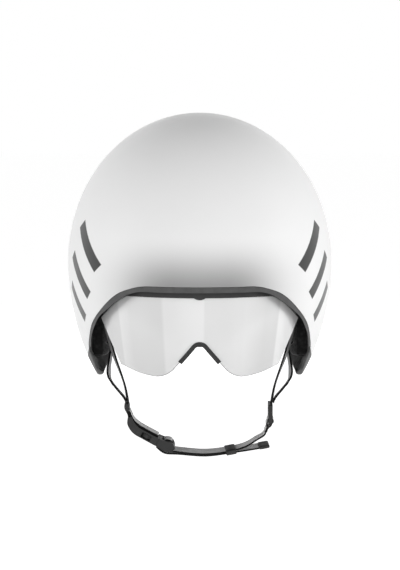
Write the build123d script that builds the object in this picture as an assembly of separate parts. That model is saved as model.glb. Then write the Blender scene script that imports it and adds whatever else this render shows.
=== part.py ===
from build123d import *
import math
import os

# Time trial helmet, in millimetres.
# The wearer looks along negative Y, positive X is the wearer's left and positive Z is up.
# The origin lies between the two ears, where the head is carried.

# Clearances used everywhere
fit_gap = 0.25
bond_gap = 0.3
running_gap = 0.05
overrun = 20
search_steps = 40
strap_stations = 11
strand_stations = 7
chin_stations = 13
arm_stations = 15

# Cavity for the head
cavity_half_width = 84
cavity_half_length = 108
cavity_rise = 100
cavity_spring = 45
cavity_floor = -60

# The egg, the smooth form that the outer shell follows, by what it leaves round the cavity
side_wall = 26.8
front_wall = 20
top_wall = 50
tail_length = 70
crown_depth = 10
half_width = cavity_half_width + side_wall
crown_height = cavity_spring + cavity_rise + top_wall
widest_height = 71
keel_height = -78
front_reach = cavity_half_length + front_wall + crown_depth
nose_height = 12
rear_reach = cavity_half_length + tail_length - crown_depth
tail_half_width = 48
tail_top = 112
tail_bottom = 40
tail_widest = 75
front_fullness_share = 2.15
front_station_shares = (0.985, 0.927, 0.809, 0.616, 0.342)
rear_station_shares = (0, 0.2, 0.4, 0.6, 0.8, 1)
side_power_share = 2.2
top_power_share = 1.9
keel_power_share = 1.3

# Outer shell and foam liner
shell_wall = 1.6
channel_width = 11
channel_side_depth = 14
channel_end_depth = 4
channel_top_depth = 15
channel_floor = 88
channel_offsets_shares = (-0.62, -0.21, 0.21, 0.62)
ear_centre_x = 60
ear_centre_y = 18
ear_centre_z = 2
ear_reach = 31.5
ear_half_length = 28
ear_half_height = 32

# Face opening, seen from the front
face_half_width = 91.2
face_rise = 66.3
face_flat = 40
face_depth = -30
face_shares = (
    (0.519, 0.991),
    (0.632, 0.945),
    (0.696, 0.906),
    (0.781, 0.815),
    (0.862, 0.684),
    (0.915, 0.577),
    (0.966, 0.424),
    (0.994, 0.210),
)

# Rim trim that lines the face opening
rim_proud = 0.4
rim_depth = 14
rim_half_width = 89.4
rim_rise = 61.8
rim_flat = 44
rim_shares = (
    (0.655, 0.937),
    (0.774, 0.810),
    (0.838, 0.718),
    (0.908, 0.604),
    (0.955, 0.454),
    (0.984, 0.328),
    (0.997, 0.186),
)

# Lower edge of the shell, and of the soft neck trim below it, seen from the side
edge_front = -55
edge_setback = 16
edge_rear = rear_reach - edge_setback
edge_low = -10
edge_high = 27
shell_edge_shares = (
    (0, 0.486),
    (0.121, 0.189),
    (0.266, 0.014),
    (0.362, 0),
    (0.459, 0.108),
    (0.556, 0.351),
    (0.652, 0.649),
    (0.725, 0.892),
    (0.797, 1.0),
    (0.918, 0.946),
    (1, 0.865),
)
trim_low = -24.5
trim_high = 20.5
trim_front_shares = (
    (0.030, 0.600),
    (0.036, 0.470),
    (0.062, 0.300),
    (0.115, 0.150),
    (0.170, 0.060),
    (0.220, 0.018),
)
trim_edge_shares = (
    (0.290, 0),
    (0.362, 0.022),
    (0.459, 0.122),
    (0.556, 0.333),
    (0.652, 0.622),
    (0.725, 0.867),
    (0.797, 0.978),
    (0.918, 0.978),
    (1, 0.920),
)
trim_wall = 5.8
trim_proud = 0.2
trim_round = 2.5
trim_tip = (90.2, 16)
trim_tip_shares = ((0.02, 0.10), (0.10, 0.30), (0.24, 0.52), (0.42, 0.74))
trim_tip_inner = (80.4, -18)
trim_tip_back = -12

# Exhaust vent in the cut-off tail
vent_width = 60
vent_height = 22
vent_centre = 76
vent_depth = 11
vent_rim_wall = 2
vent_fin = 1.8
vent_fin_offsets_shares = (-0.25, 0, 0.25)
duct_start = 92

# Visor lens, its carrier strip and nose piece
lens_inset = 8
lens_wall = 2.2
lens_top = 58.4
lens_top_end = 56.4
lens_top_half = 58
lens_corner_x = 80
lens_corner_z = 34.8
lens_corner_shares = ((0.53, 0.60), (0.78, 0.30))
lens_heel_x = 63.8
lens_heel_z = -2
lens_cheek_x = 20.7
lens_cheek_z = -0.7
lens_cheek_shares = ((0.82, 0.34), (0.65, 0.64), (0.45, 0.84), (0.28, 0.88), (0.14, 0.62))
lens_cheek_drop = 7.5
nose_peak = 23.9
nose_radius = 6.2
nose_band = 3.4
nose_end_share = 0.76
nose_inset = 6.8
nose_depth = 6
carrier_inset = 6.5
carrier_depth = 5.2
carrier_bottom = 56.9
carrier_half = 57
carrier_gap = 0.7
groove_gap = 0.15
tab_radius = 8
tab_low = 55.4
magnet_length = 12
magnet_depth = 2.4
magnet_height = 1.5
magnet_offsets_shares = (-0.6, 0, 0.6)
magnet_gap = 0.1

# Cushions on the cavity wall
pad_thickness = 6
ear_pad_thickness = 7
pad_edge = 1.6
brow_pad_half = 50
brow_pad_low = 68
brow_pad_high = 84
crown_pad_length = 96
crown_pad_width = 20
crown_side_pad_length = 80
crown_side_pad_width = 16
crown_side_pad_x = 34
crown_pad_y = 4
side_pad_y = -28
side_pad_z = 64
side_pad_length = 54
side_pad_height = 18
ear_pad_y = -17.5
ear_pad_z = 11.5
ear_pad_width = 12
ear_pad_height = 35

# Strap webbing and its riveted anchors on the cavity's side walls
strap_width = 15
strap_thickness = 1.5
anchor_radius = 6
anchor_depth = 2.6
anchor_lift = 0.8
rivet_radius = 1.6
rivet_head_radius = 3.4
rivet_head_depth = 0.9
strap_end = 7.5
front_anchor_y = -32
front_anchor_z = 40
front_strap_route = ((75.6, -35.5, 14), (68.8, -40, -8), (62, -43.2, -27))
front_strap_lean_shares = ((0.5, 0.85, 0), (0.45, 0.88, 0), (0.1, 1, 0), (0.1, 1, 0))
rear_anchor_y = 52
rear_anchor_z = 8
rear_strap_route = ((75.6, 22, -14), (73, -6, -25))
rear_strap_lean_shares = ((0, 0.5, -0.86), (0, 0.45, -0.9), (-0.15, 0.5, -0.85))
rear_strap_heading_shares = (-0.17, -0.85, -0.5)
lap_x = 63.1
lap_y = -41
lap_z = -33
join_x = 59.4
join_y = -44
join_z = -44
join_height = 5
join_thickness = 4.6

# Side-release buckle on the wearer's right, in its own frame
buckle_x = -35.3
buckle_y = -44
buckle_z = -72.6
buckle_slope_angle = 29
buckle_width = 20
buckle_thickness = 6.8
female_length = 31
curl_rise = 12
curl_outer_shares = ((0.55, 0), (0.79, 0.15), (0.906, 0.35), (1.0, 0.80))
curl_inner_shares = ((0.92, 1.0), (0.82, 0.77), (0.69, 0.63), (0.55, 0.567))
curl_tip_shares = (-0.3, 1)
curl_inner_tip_shares = (0.5, -1)
male_length = 15.4
male_profile_shares = (
    (0.60, -0.10),
    (0.97, 0.34),
    (1.0, 0.92),
    (0.82, 1.24),
    (0.62, 1.32),
    (0.30, 1.06),
)
mouth_gap = 0.3
socket_depth = 19
socket_half = 7.7
socket_height = 4
window_start = 5.9
window_length = 8.6
window_low = -2.4
window_high = 1.9
web_slot = 3.2
web_slot_place = 24.5
web_bar_place = 4.6
web_bar_pitch = 7
web_slot_half = 8.1
upright_lean_shares = ((0, 1, 0), (0, 1, 0))
inner_strand_heading_shares = (0.45, 0, -0.9)
inner_strand_shares = ((-0.79, 1.43), (-0.37, 0.78), (-0.04, 1.06))
tongue_length = 15
tongue_height = 3
tongue_half = 2.2
prong_thickness = 2
prong_height = 3
prong_root_y = 6.2
prong_length = 15.5
barb_length = 5
barb_reach = 9.5
barb_back = 8.1
barb_place = 8.4
prong_knuckle = 1.2
prong_knuckle_place = 1.5
prong_tip = 6.2

# Chin strap, its loose end, keeper and end cap
chin_y = -50
chin_span = 54.6
chin_low = -81.2
chin_rise = 15.3
chin_tilt_share = 0.14
chin_shares = (
    (-0.374, 0.4, 0.072),
    (-0.147, 0.8, 0.026),
    (0.092, 1.0, 0),
    (0.399, 1.0, 0.131),
    (0.542, 0.9, 0.222),
    (0.725, 0.7, 0.412),
    (0.881, 0.4, 0.732),
)
chin_start_shares = (1, 0, -0.12)
loose_shares = (
    (-0.401, 0.4, -0.052),
    (-0.147, 0.8, -0.105),
    (0.092, 1.0, -0.131),
    (0.399, 1.0, -0.007),
    (0.542, 0.9, 0.059),
    (0.725, 0.8, 0.183),
    (0.905, 0.7, 0.288),
)
keeper_x = 25.4
keeper_z = -79.7
keeper_slope_angle = 9
keeper_length = 7.3
keeper_width = 19
keeper_thickness = 7.2
keeper_wall = 1.1
cap_x = 52.6
cap_z = -76.4
cap_slope_angle = 8
cap_length = 8.3
cap_width = 17
cap_thickness = 4
cap_slot_depth = 5

# Adjuster and sewn loop on the wearer's left
adjuster_x = 58.4
adjuster_y = -44
adjuster_z = -49.2
adjuster_height = 15.6
adjuster_width = 20
adjuster_thickness = 3.6
adjuster_bar = 3
loop_wall = 1.2
loop_gap = 0.2
loop_end_x = 54.6
loop_end_z = -64.6

# Cradle that grips the back of the head
pin_y = -10
pin_z = 36
pin_radius = 2.5
pin_head_radius = 5
pin_head_depth = 1.6
pin_length = 8
arm_height = 8
arm_thickness = 1.6
arm_inset = 5
arm_end_x = 41
arm_shares = ((0.32, 0.955), (0.585, 0.715), (0.81, 0.33), (0.93, 0.1))
rack_y = 87
rack_thickness = 1.6
rack_back = 3.5
rack_inner = 12
housing_half = 27
housing_margin = 5
housing_front = 84
housing_back = 94
cover_front = 80.4
housing_corner = 4
dial_z = -2
knob_radius = 13
knob_height = 8.6
knob_rib_count = 22
knob_rib_radius = 1.1
knob_gap = 0.6
shaft_radius = 2.6
screw_offset = 22
screw_radius = 1.4
screw_head_radius = 2.6
screw_head_depth = 1.5
screw_length = 9
nape_pad_x = 16.5
nape_pad_width = 18
nape_pad_height = 18
nape_pad_thickness = 3.4

# Dial gear, a small stub-toothed pinion between two racks
module = 0.8
tooth_count = 10
flank_steps = 5
pressure_angle = 25
pinion_addendum = 0.7
pinion_dedendum = 0.8
rack_addendum = 0.6
rack_dedendum = 0.9
backlash = 0.14
pinion_width = 2.8
rack_tooth_count = 9
rack_first_tooth = -1.5

# Height strip that hangs the cradle from the liner
strip_width = 12
strip_thickness = 1.6
strip_foot_y = 92
strip_top_y = 103
strip_top_z = 50
strip_bend_z = 22
strip_slot_width = 5
strip_slot_height = 3
strip_slot_pitch = 6
strip_slot_count = 3
socket_width = 24
socket_low = 38
socket_high = 46
socket_front_y = 98.6
socket_swing = 1.6


def widths_at(depth, inset):
    """Half width, top, widest and lowest heights of the egg's section at a depth."""
    if depth <= crown_depth:
        run = min((crown_depth - depth) / (front_reach - inset), 1)
        full = (1 - run ** front_fullness_share) ** (1 / front_fullness_share)
        wide = (half_width - inset) * full
        top = nose_height + (crown_height - inset - nose_height) * full
        middle = nose_height + (widest_height - nose_height) * full
        low = nose_height + (keel_height + inset - nose_height) * full
        return wide, top, middle, low
    run = (depth - crown_depth) / rear_reach
    wide = half_width - (half_width - tail_half_width) * run ** side_power_share - inset
    top = crown_height - (crown_height - tail_top) * run ** top_power_share - inset
    middle = widest_height + (tail_widest - widest_height) * run
    low = keel_height + (tail_bottom - keel_height) * run ** keel_power_share + inset
    return wide, top, middle, low


def egg_section(depth, inset, full_depth):
    """One cross section of the egg: two half ellipses that share their widest line."""
    wide, top, middle, low = widths_at(full_depth, inset)
    upper = EllipticalCenterArc((0, middle), wide, top - middle, 0, arc_size=180)
    lower = EllipticalCenterArc((0, middle), wide, middle - low, 180, arc_size=180)
    return Plane.XZ.offset(-depth) * make_face(upper + lower)


def egg(inset):
    """The helmet's smooth outer form, drawn in by the inset."""
    sections = [Vertex(0, crown_depth - front_reach + inset, nose_height)]
    for share in front_station_shares:
        depth = crown_depth - (front_reach - inset) * share
        sections.append(egg_section(depth, inset, depth))
    for share in rear_station_shares:
        true_depth = crown_depth + rear_reach * share
        sections.append(egg_section(crown_depth + (rear_reach - inset) * share, inset, true_depth))
    return loft(sections)


def skin_depth(x, z, inset):
    """Depth at which the front of the egg passes over a point seen from the front."""
    outside = crown_depth - front_reach
    within = crown_depth
    for _ in range(search_steps):
        depth = (outside + within) / 2
        wide, top, middle, low = widths_at(depth, inset)
        tall = top - middle if z > middle else middle - low
        held = wide > 0 and tall > 0 and (x / wide) ** 2 + ((z - middle) / tall) ** 2 < 1
        if held:
            within = depth
        else:
            outside = depth
    return within


def front_prism(outline, back, front):
    """Solid that has the outline when seen from the front."""
    return extrude(Plane.XZ.offset(-back) * outline, amount=back - front)


def side_prism(outline, near, far):
    """Solid that has the outline when seen from the side, between two places on X."""
    return extrude(Plane.YZ.offset(near) * outline, amount=far - near)


def top_prism(outline, low, high):
    """Solid that has the outline when seen from above."""
    return extrude(Plane.XY.offset(low) * outline, amount=high - low)


def mirrored(shape):
    """The same piece on the wearer's other side."""
    return mirror(shape, about=Plane.YZ)


def arch(flat, wide, rise, shares, floor):
    """Face opening outline: a flat brow, curved shoulders and straight sides."""
    shoulder = [(flat, rise)] + [(wide * a, rise * b) for a, b in shares] + [(wide, 0)]
    other = [(-x, z) for x, z in shoulder]
    brow = Line((-flat, rise), (flat, rise))
    left = Spline(*shoulder, tangents=[(1, 0), (0, -1)])
    right = Spline(*other, tangents=[(-1, 0), (0, -1)])
    sides = Polyline((wide, 0), (wide, floor), (-wide, floor), (-wide, 0))
    return make_face(brow + left + right + sides)


def face_outline(gap):
    return arch(face_flat, face_half_width - gap, face_rise - gap, face_shares, cavity_floor)


def rim_outline(gap):
    return arch(rim_flat, rim_half_width - gap, rim_rise - gap, rim_shares, cavity_floor)


def edge_points(shares, low, high):
    """Points of a lower edge in the side view, from shares of its length and height."""
    length = edge_rear - edge_front
    return [(edge_front + length * a, low + (high - low) * b) for a, b in shares]


def under_edge(gap):
    """Everything below the shell's lower edge."""
    points = edge_points(shell_edge_shares, edge_low - gap, edge_high - gap)
    front = crown_depth - front_reach - overrun
    first = points[0]
    last = points[-1]
    floor = keel_height - overrun
    edge = Spline(*points)
    rest = Polyline(last, (last[0], floor), (front, floor), (front, first[1]), first)
    reach = half_width + overrun
    return side_prism(make_face(edge + rest), -reach, reach)


def trim_band():
    """Side view of the soft trim between the shell's edge and the helmet's lowest edge."""
    upper = edge_points(shell_edge_shares, edge_low - fit_gap, edge_high - fit_gap)
    front = edge_points(trim_front_shares, trim_low, trim_high)
    lower = edge_points(trim_edge_shares, trim_low, trim_high)
    top_edge = Spline(*upper)
    start = front[0]
    low_edge = Spline(*(front + lower))
    head = Line(upper[0], start)
    tail = Line(upper[-1], lower[-1])
    reach = half_width + overrun
    return side_prism(make_face(top_edge + low_edge + head + tail), -reach, reach)


def unit_ball(centre, x_half, y_half, z_half):
    """Ellipsoid made from a unit ball."""
    return Pos(*centre) * scale(Sphere(1), by=(x_half, y_half, z_half))


def cavity(inset):
    """Room for the head: half an ellipsoid above, an elliptical cylinder below."""
    wide = cavity_half_width - inset
    length = cavity_half_length - inset
    dome = unit_ball((0, 0, cavity_spring), wide, length, cavity_rise - inset)
    well = top_prism(Ellipse(wide, length), cavity_floor, cavity_spring)
    above = Pos(0, 0, cavity_spring) * Box(
        4 * wide, 4 * length, 4 * cavity_rise, align=(Align.CENTER, Align.CENTER, Align.MIN)
    )
    return (dome & above) + well


def channels():
    """Air channels that run over the head, front to back, in the liner's roof."""
    hollow = unit_ball(
        (0, 0, cavity_spring),
        cavity_half_width + channel_side_depth,
        cavity_half_length + channel_end_depth,
        cavity_rise + channel_top_depth,
    )
    rows = []
    for share in channel_offsets_shares:
        x = cavity_half_width * share
        slab = Pos(x, 0, channel_floor) * Box(
            channel_width,
            4 * cavity_half_length,
            2 * cavity_rise,
            align=(Align.CENTER, Align.CENTER, Align.MIN),
        )
        rows.append(hollow & slab)
    return rows


def ear_pockets():
    """Dished room for the two ears."""
    pocket = unit_ball(
        (ear_centre_x, ear_centre_y, ear_centre_z), ear_reach, ear_half_length, ear_half_height
    )
    return [pocket, mirrored(pocket)]


def duct(gap, start, end):
    """Passage from the cavity to the tail vent."""
    slot = Pos(0, vent_centre) * SlotOverall(vent_width - 2 * gap, vent_height - 2 * gap)
    return front_prism(slot, end, start)


def between(start, end, share):
    """Point part of the way from one point to another."""
    return tuple(a + (b - a) * share for a, b in zip(start, end))


def ribbon(path, width, thickness, sides, count):
    """Flat webbing along a path; sides give its width direction from start to end."""
    faces = []
    for index in range(count):
        share = index / (count - 1)
        spread = share * (len(sides) - 1)
        first = min(int(spread), len(sides) - 2)
        side = Vector(*between(sides[first], sides[first + 1], spread - first))
        along = path % share
        side = side - along * side.dot(along)
        station = Plane(origin=path @ share, x_dir=side, z_dir=along)
        faces.append(station * Rectangle(width, thickness))
    return loft(faces)


# Main form
solid_egg = egg(0)
face_cut = front_prism(face_outline(0), face_depth, crown_depth - front_reach - overrun)
below_shell = under_edge(0)
tail_end = crown_depth + rear_reach


def make_outer_shell():
    """Thin hard skin, open at the face, at the neck and at the tail vent."""
    skin = solid_egg - egg(shell_wall)
    vent = duct(0, tail_end - overrun, tail_end + overrun)
    return skin - face_cut - below_shell - vent


def make_liner():
    """Foam body between the shell and the head."""
    foam = egg(shell_wall + bond_gap) - cavity(0)
    foam = foam - face_cut - below_shell
    for hollow in channels() + ear_pockets():
        foam = foam - hollow
    foam = foam - duct(0, duct_start, tail_end + overrun)
    front = anchor_room(front_anchor_y, front_anchor_z)
    rear = anchor_room(rear_anchor_y, rear_anchor_z)
    pin = Pos(cavity_half_width, pin_y, pin_z) * Rot(0, 90, 0) * Cylinder(
        pin_radius + running_gap, 2 * pin_length
    )
    for hollow in (front, rear, pin):
        foam = foam - hollow
        foam = foam - mirrored(hollow)
    return foam


def cavity_place(depth, inset):
    """Half width of the cavity at a depth, less an inset."""
    length = cavity_half_length - inset
    return (cavity_half_width - inset) * math.sqrt(1 - (depth / length) ** 2)


def wall_frame(y, z):
    """Frame on the cavity's side wall: up the wall, forward along it and out of it."""
    x = cavity_place(y, 0)
    outward = (x / cavity_half_width**2, y / cavity_half_length**2, 0)
    return Plane(origin=(x, y, z), x_dir=(0, 0, 1), z_dir=outward)


def anchor_room(y, z):
    """Pocket for a strap anchor, open towards the head."""
    depth = anchor_depth - anchor_lift + fit_gap
    disc = Pos(0, 0, (depth - overrun) / 2) * Cylinder(anchor_radius + fit_gap, depth + overrun)
    return wall_frame(y, z).location * disc


def make_rim():
    """Trim around the face opening, seated on the liner's cut edge."""
    front = crown_depth - front_reach - overrun
    ring = front_prism(face_outline(fit_gap), face_depth, front)
    ring = ring - front_prism(rim_outline(0), face_depth + overrun, front - overrun)
    band = egg(-rim_proud) - egg(rim_depth)
    rim = (ring & band) - under_edge(-fit_gap)
    for share in magnet_offsets_shares:
        rim = rim - magnet(share, rim_rise + magnet_height / 2, magnet_gap)
    return rim


def magnet(share, z, gap):
    """Bar magnet that follows the brow's curve."""
    x = rim_flat * share
    mid = lens_inset + lens_wall / 2
    y = skin_depth(x, z, mid)
    step = magnet_length / 2
    turn = math.degrees(math.atan2(skin_depth(x + step, z, mid) - skin_depth(x - step, z, mid), 2 * step))
    bar = Box(magnet_length + 2 * gap, magnet_depth + 2 * gap, magnet_height + 2 * gap)
    return Pos(x, y, z) * Rot(0, 0, turn) * bar


def magnets(z):
    return Part(children=[magnet(share, z, 0) for share in magnet_offsets_shares])


def lens_outline(gap):
    """Front view of the lens, grown by a gap."""
    top = lens_top + gap
    end = (lens_top_half + gap, lens_top_end + gap)
    corner = (lens_corner_x + gap, lens_corner_z)
    heel = (lens_heel_x + gap, lens_heel_z - gap)
    cheek = (lens_cheek_x, lens_cheek_z)
    shoulder = [end]
    for a, b in lens_corner_shares:
        shoulder.append((end[0] + (corner[0] - end[0]) * a, corner[1] + (end[1] - corner[1]) * b))
    shoulder.append(corner)
    bottom = [heel]
    for a, b in lens_cheek_shares:
        base = cheek[1] + (heel[1] - cheek[1]) * a
        bottom.append((cheek[0] + (heel[0] - cheek[0]) * a, base - lens_cheek_drop * b))
    bottom.append(cheek)
    half = Line((0, top), end) + Spline(*shoulder) + Line(corner, heel) + Spline(*bottom)
    notch = nose_line(1)
    return make_face(half + mirror(half, about=Plane.YZ) + notch)


def nose_line(share):
    """Line over the bridge of the nose, up to a share of the way out to the cheek."""
    end = between((0, nose_peak), (lens_cheek_x, lens_cheek_z), share)
    return FilletPolyline((-end[0], end[1]), (0, nose_peak), end, radius=nose_radius)


def make_lens():
    """Curved lens that follows the helmet's form inside the face opening."""
    front = crown_depth - front_reach - overrun
    sheet = egg(lens_inset) - egg(lens_inset + lens_wall)
    return sheet & front_prism(lens_outline(0), crown_depth, front)


def carrier_outline():
    """Front view of the strip that carries the lens, with its pull tab."""
    reach = rim_outline(carrier_gap)
    height = face_rise - carrier_bottom
    window = Pos(0, carrier_bottom + height / 2) * Rectangle(2 * carrier_half, height)
    tab = (Pos(0, tab_low + tab_radius) * Circle(tab_radius)) & reach
    return (reach & window) + tab


def make_carrier():
    """Strip along the top of the lens, with a groove for it and pockets for magnets."""
    front = crown_depth - front_reach - overrun
    strip = egg(carrier_inset) - egg(carrier_inset + carrier_depth)
    strip = strip & front_prism(carrier_outline(), crown_depth, front)
    groove = egg(lens_inset - groove_gap) - egg(lens_inset + lens_wall + groove_gap)
    groove = groove & front_prism(lens_outline(groove_gap), crown_depth, front)
    strip = strip - groove
    for share in magnet_offsets_shares:
        strip = strip - magnet(share, carrier_magnet_z, magnet_gap)
    return strip


def make_nose_piece():
    """Soft bridge that grips the lens's notched edge."""
    front = crown_depth - front_reach - overrun
    band = trace(nose_line(nose_end_share), line_width=nose_band)
    body = egg(nose_inset) - egg(nose_inset + nose_depth)
    body = body & front_prism(band, crown_depth, front)
    groove = egg(lens_inset - groove_gap) - egg(lens_inset + lens_wall + groove_gap)
    return body - (groove & front_prism(lens_outline(groove_gap), crown_depth, front))


carrier_magnet_z = rim_rise - carrier_gap - magnet_height / 2 - magnet_gap


def wall_pad(prism, thickness):
    """Cushion on the cavity wall with the outline of a prism."""
    layer = cavity(bond_gap) - cavity(bond_gap + thickness)
    return layer & prism


def make_brow_pad():
    height = brow_pad_high - brow_pad_low
    slot = Pos(0, (brow_pad_low + brow_pad_high) / 2) * SlotOverall(2 * brow_pad_half, height)
    return wall_pad(front_prism(slot, 0, -cavity_half_length - overrun), pad_thickness)


def make_crown_pad(x, length, width):
    slot = Pos(x, crown_pad_y) * Rot(0, 0, 90) * SlotOverall(length, width)
    top = cavity_spring + cavity_rise + overrun
    return wall_pad(top_prism(slot, cavity_spring, top), pad_thickness)


def make_side_pad():
    slot = Pos(side_pad_y, side_pad_z) * SlotOverall(side_pad_length, side_pad_height)
    return wall_pad(side_prism(slot, 0, cavity_half_width + overrun), pad_thickness)


def make_ear_pad():
    slot = Pos(ear_pad_y, ear_pad_z) * Rot(0, 0, 90) * SlotOverall(ear_pad_height, ear_pad_width)
    return wall_pad(side_prism(slot, 0, cavity_half_width + overrun), ear_pad_thickness)


def trim_taper():
    """Room inside the lobe's front end, which narrows upward into the face rim."""
    top = trim_tip
    low = trim_tip_inner
    points = [top]
    for a, b in trim_tip_shares:
        points.append((top[0] + (low[0] - top[0]) * a, top[1] + (low[1] - top[1]) * b))
    points.append(low)
    rest = Polyline(low, (low[0], cavity_floor), (0, cavity_floor), (0, top[1]), top)
    return front_prism(make_face(Spline(*points) + rest), trim_tip_back, crown_depth - front_reach)


def make_neck_trim():
    """Soft roll below the shell that forms the ear lobes and runs round the neck."""
    layer = (egg(-trim_proud) - egg(trim_wall)) & trim_band()
    lower = layer.edges().filter_by(lambda edge: edge.length > half_width)
    lower = lower.filter_by(lambda edge: edge.bounding_box().min.Z < edge_low - fit_gap - trim_round)
    layer = fillet(lower, trim_round)
    room = trim_taper()
    return layer - room - mirrored(room)


def make_vent():
    """Grille in the tail opening: a frame with upright fins."""
    start = tail_end - vent_depth
    frame_solid = duct(fit_gap, start, tail_end) - duct(
        fit_gap + vent_rim_wall, start - overrun, tail_end + overrun
    )
    depth = vent_depth
    for share in vent_fin_offsets_shares:
        fin = Pos(vent_width * share, tail_end - depth / 2, vent_centre) * Box(
            vent_fin, depth, vent_height - 2 * fit_gap - vent_rim_wall
        )
        frame_solid = frame_solid + fin
    return frame_solid


strap_lift = anchor_lift + bond_gap + strap_thickness / 2


def make_anchor(y, z):
    """Disc seated in the liner, with a rivet through the webbing."""
    disc = Pos(0, 0, anchor_depth / 2 - anchor_lift) * Cylinder(anchor_radius, anchor_depth)
    head_at = strap_lift + strap_thickness / 2 + bond_gap + rivet_head_depth / 2
    rivet = Pos(0, 0, -head_at / 2) * Cylinder(rivet_radius, head_at)
    head = Pos(0, 0, -head_at) * Cylinder(rivet_head_radius, rivet_head_depth)
    return wall_frame(y, z).location * (disc + rivet + head)


def rivet_hole(y, z):
    return wall_frame(y, z).location * Cylinder(rivet_radius + fit_gap, overrun)


def on_wall(y, z, up, forward):
    """Point on the strap's middle, off the wall beside an anchor."""
    return wall_frame(y, z).from_local_coords((up, forward, -strap_lift))


def riveted(y, z, up, forward):
    """Start of a strap on the wall, for one that leaves its rivet up the wall and forward."""
    steps = [on_wall(y, z, -up * share, -forward * share) for share in (1, 0, -1)]
    lean = wall_frame(y, z).z_dir.cross(steps[2] - steps[0]).normalized()
    return steps, [tuple(lean), tuple(lean)]


def make_front_strap():
    """Webbing from the temple anchor down past the edge of the lens."""
    steps, lean = riveted(front_anchor_y, front_anchor_z, -strap_end, 0)
    end = (join_x, join_y, join_z + join_height / 2 + 2 * bond_gap)
    path = Spline(*steps, *front_strap_route, end)
    lean = lean + list(front_strap_lean_shares)
    strap = ribbon(path, strap_width, strap_thickness, lean, strap_stations)
    return strap - rivet_hole(front_anchor_y, front_anchor_z)


def make_rear_strap():
    """Webbing from behind the ear, under the lobe and forward onto the front strap."""
    heading = Vector(*rear_strap_route[0]) - on_wall(rear_anchor_y, rear_anchor_z, 0, 0)
    heading = heading * (strap_end / heading.length)
    steps, lean = riveted(rear_anchor_y, rear_anchor_z, heading.Z, -heading.Y)
    path = Spline(
        *steps,
        *rear_strap_route,
        (lap_x, lap_y, lap_z),
        tangents=[steps[2] - steps[0], rear_strap_heading_shares],
    )
    lean = lean + list(rear_strap_lean_shares)
    strap = ribbon(path, strap_width, strap_thickness, lean, strap_stations)
    return strap - rivet_hole(rear_anchor_y, rear_anchor_z)


def make_join():
    """Stitched block that holds the front and rear straps together."""
    block = Box(join_thickness, strap_width, join_height)
    block = fillet(block.edges().filter_by(Axis.Y), join_thickness / 4)
    return Pos(-join_x, join_y, join_z) * block


slope = math.radians(buckle_slope_angle)
buckle_frame = Plane(
    origin=(buckle_x, buckle_y, buckle_z),
    x_dir=(math.cos(slope), 0, -math.sin(slope)),
    z_dir=(math.sin(slope), 0, math.cos(slope)),
)
buckle_half = buckle_thickness / 2


def in_buckle(shape):
    """A shape made in the buckle's own frame, at its place on the helmet."""
    return buckle_frame.location * shape


def at_buckle(x, y, z):
    """A point of the buckle's own frame, at its place on the helmet."""
    return buckle_frame.from_local_coords((x, y, z))


def buckle_block(x_low, x_high, y_low, y_high, z_low, z_high):
    """Plain block in the buckle's frame."""
    centre = ((x_low + x_high) / 2, (y_low + y_high) / 2, (z_low + z_high) / 2)
    return Pos(*centre) * Box(x_high - x_low, y_high - y_low, z_high - z_low)


def across_buckle(outline):
    """Solid with a side view, as wide as the buckle."""
    return extrude(Plane.XZ.offset(-buckle_width / 2) * outline, amount=buckle_width)


def make_female():
    """Socket half: a curled back end with a webbing bar, a mouth and two side windows."""
    outer = [(-female_length * a, -buckle_half + curl_rise * b) for a, b in curl_outer_shares]
    inner = [(-female_length * a, -buckle_half + curl_rise * b) for a, b in curl_inner_shares]
    low = Line((0, -buckle_half), outer[0])
    high = Line(inner[-1], (0, buckle_half))
    curl = Spline(*outer, tangents=[(-1, 0), curl_tip_shares])
    back = Spline(*inner, tangents=[curl_inner_tip_shares, (1, 0)])
    cap = Line(outer[-1], inner[0])
    mouth = Line((0, buckle_half), (0, -buckle_half))
    body = across_buckle(make_face(low + curl + cap + back + high + mouth))
    body = body - buckle_block(
        -socket_depth, overrun, -socket_half, socket_half, -socket_height / 2, socket_height / 2
    )
    for side in (1, -1):
        near = side * (socket_half - prong_thickness / 2)
        far = side * buckle_width
        body = body - buckle_block(
            -window_start - window_length,
            -window_start,
            min(near, far),
            max(near, far),
            window_low,
            window_high,
        )
    slot = buckle_block(
        -web_slot_place - web_slot / 2,
        -web_slot_place + web_slot / 2,
        -web_slot_half,
        web_slot_half,
        -overrun,
        overrun,
    )
    return in_buckle(body - slot)


def make_male():
    """Plug half: a webbing grip with two slots and a guide tongue."""
    corners = [(mouth_gap, -buckle_half)]
    for a, b in male_profile_shares:
        corners.append((male_length * a, -buckle_half + buckle_thickness * b))
    corners.append((mouth_gap, buckle_half))
    body = across_buckle(make_face(Polyline(*corners, close=True)))
    for place in (web_bar_place, web_bar_place + web_bar_pitch):
        body = body - buckle_block(
            place - web_slot / 2,
            place + web_slot / 2,
            -web_slot_half,
            web_slot_half,
            -overrun,
            overrun,
        )
    tongue = buckle_block(
        -tongue_length, 2 * mouth_gap, -tongue_half, tongue_half, -tongue_height / 2, tongue_height / 2
    )
    body = body + tongue
    room = prong_height / 2 + fit_gap
    for side in (1, -1):
        y = side * prong_root_y
        knuckle = Pos(prong_knuckle_place, y, 0) * Cylinder(prong_knuckle + running_gap, 2 * room)
        neck_half = prong_thickness / 2 + fit_gap
        neck = buckle_block(0, prong_knuckle_place, y - neck_half, y + neck_half, -room, room)
        body = body - knuckle - neck
    return in_buckle(body)


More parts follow.
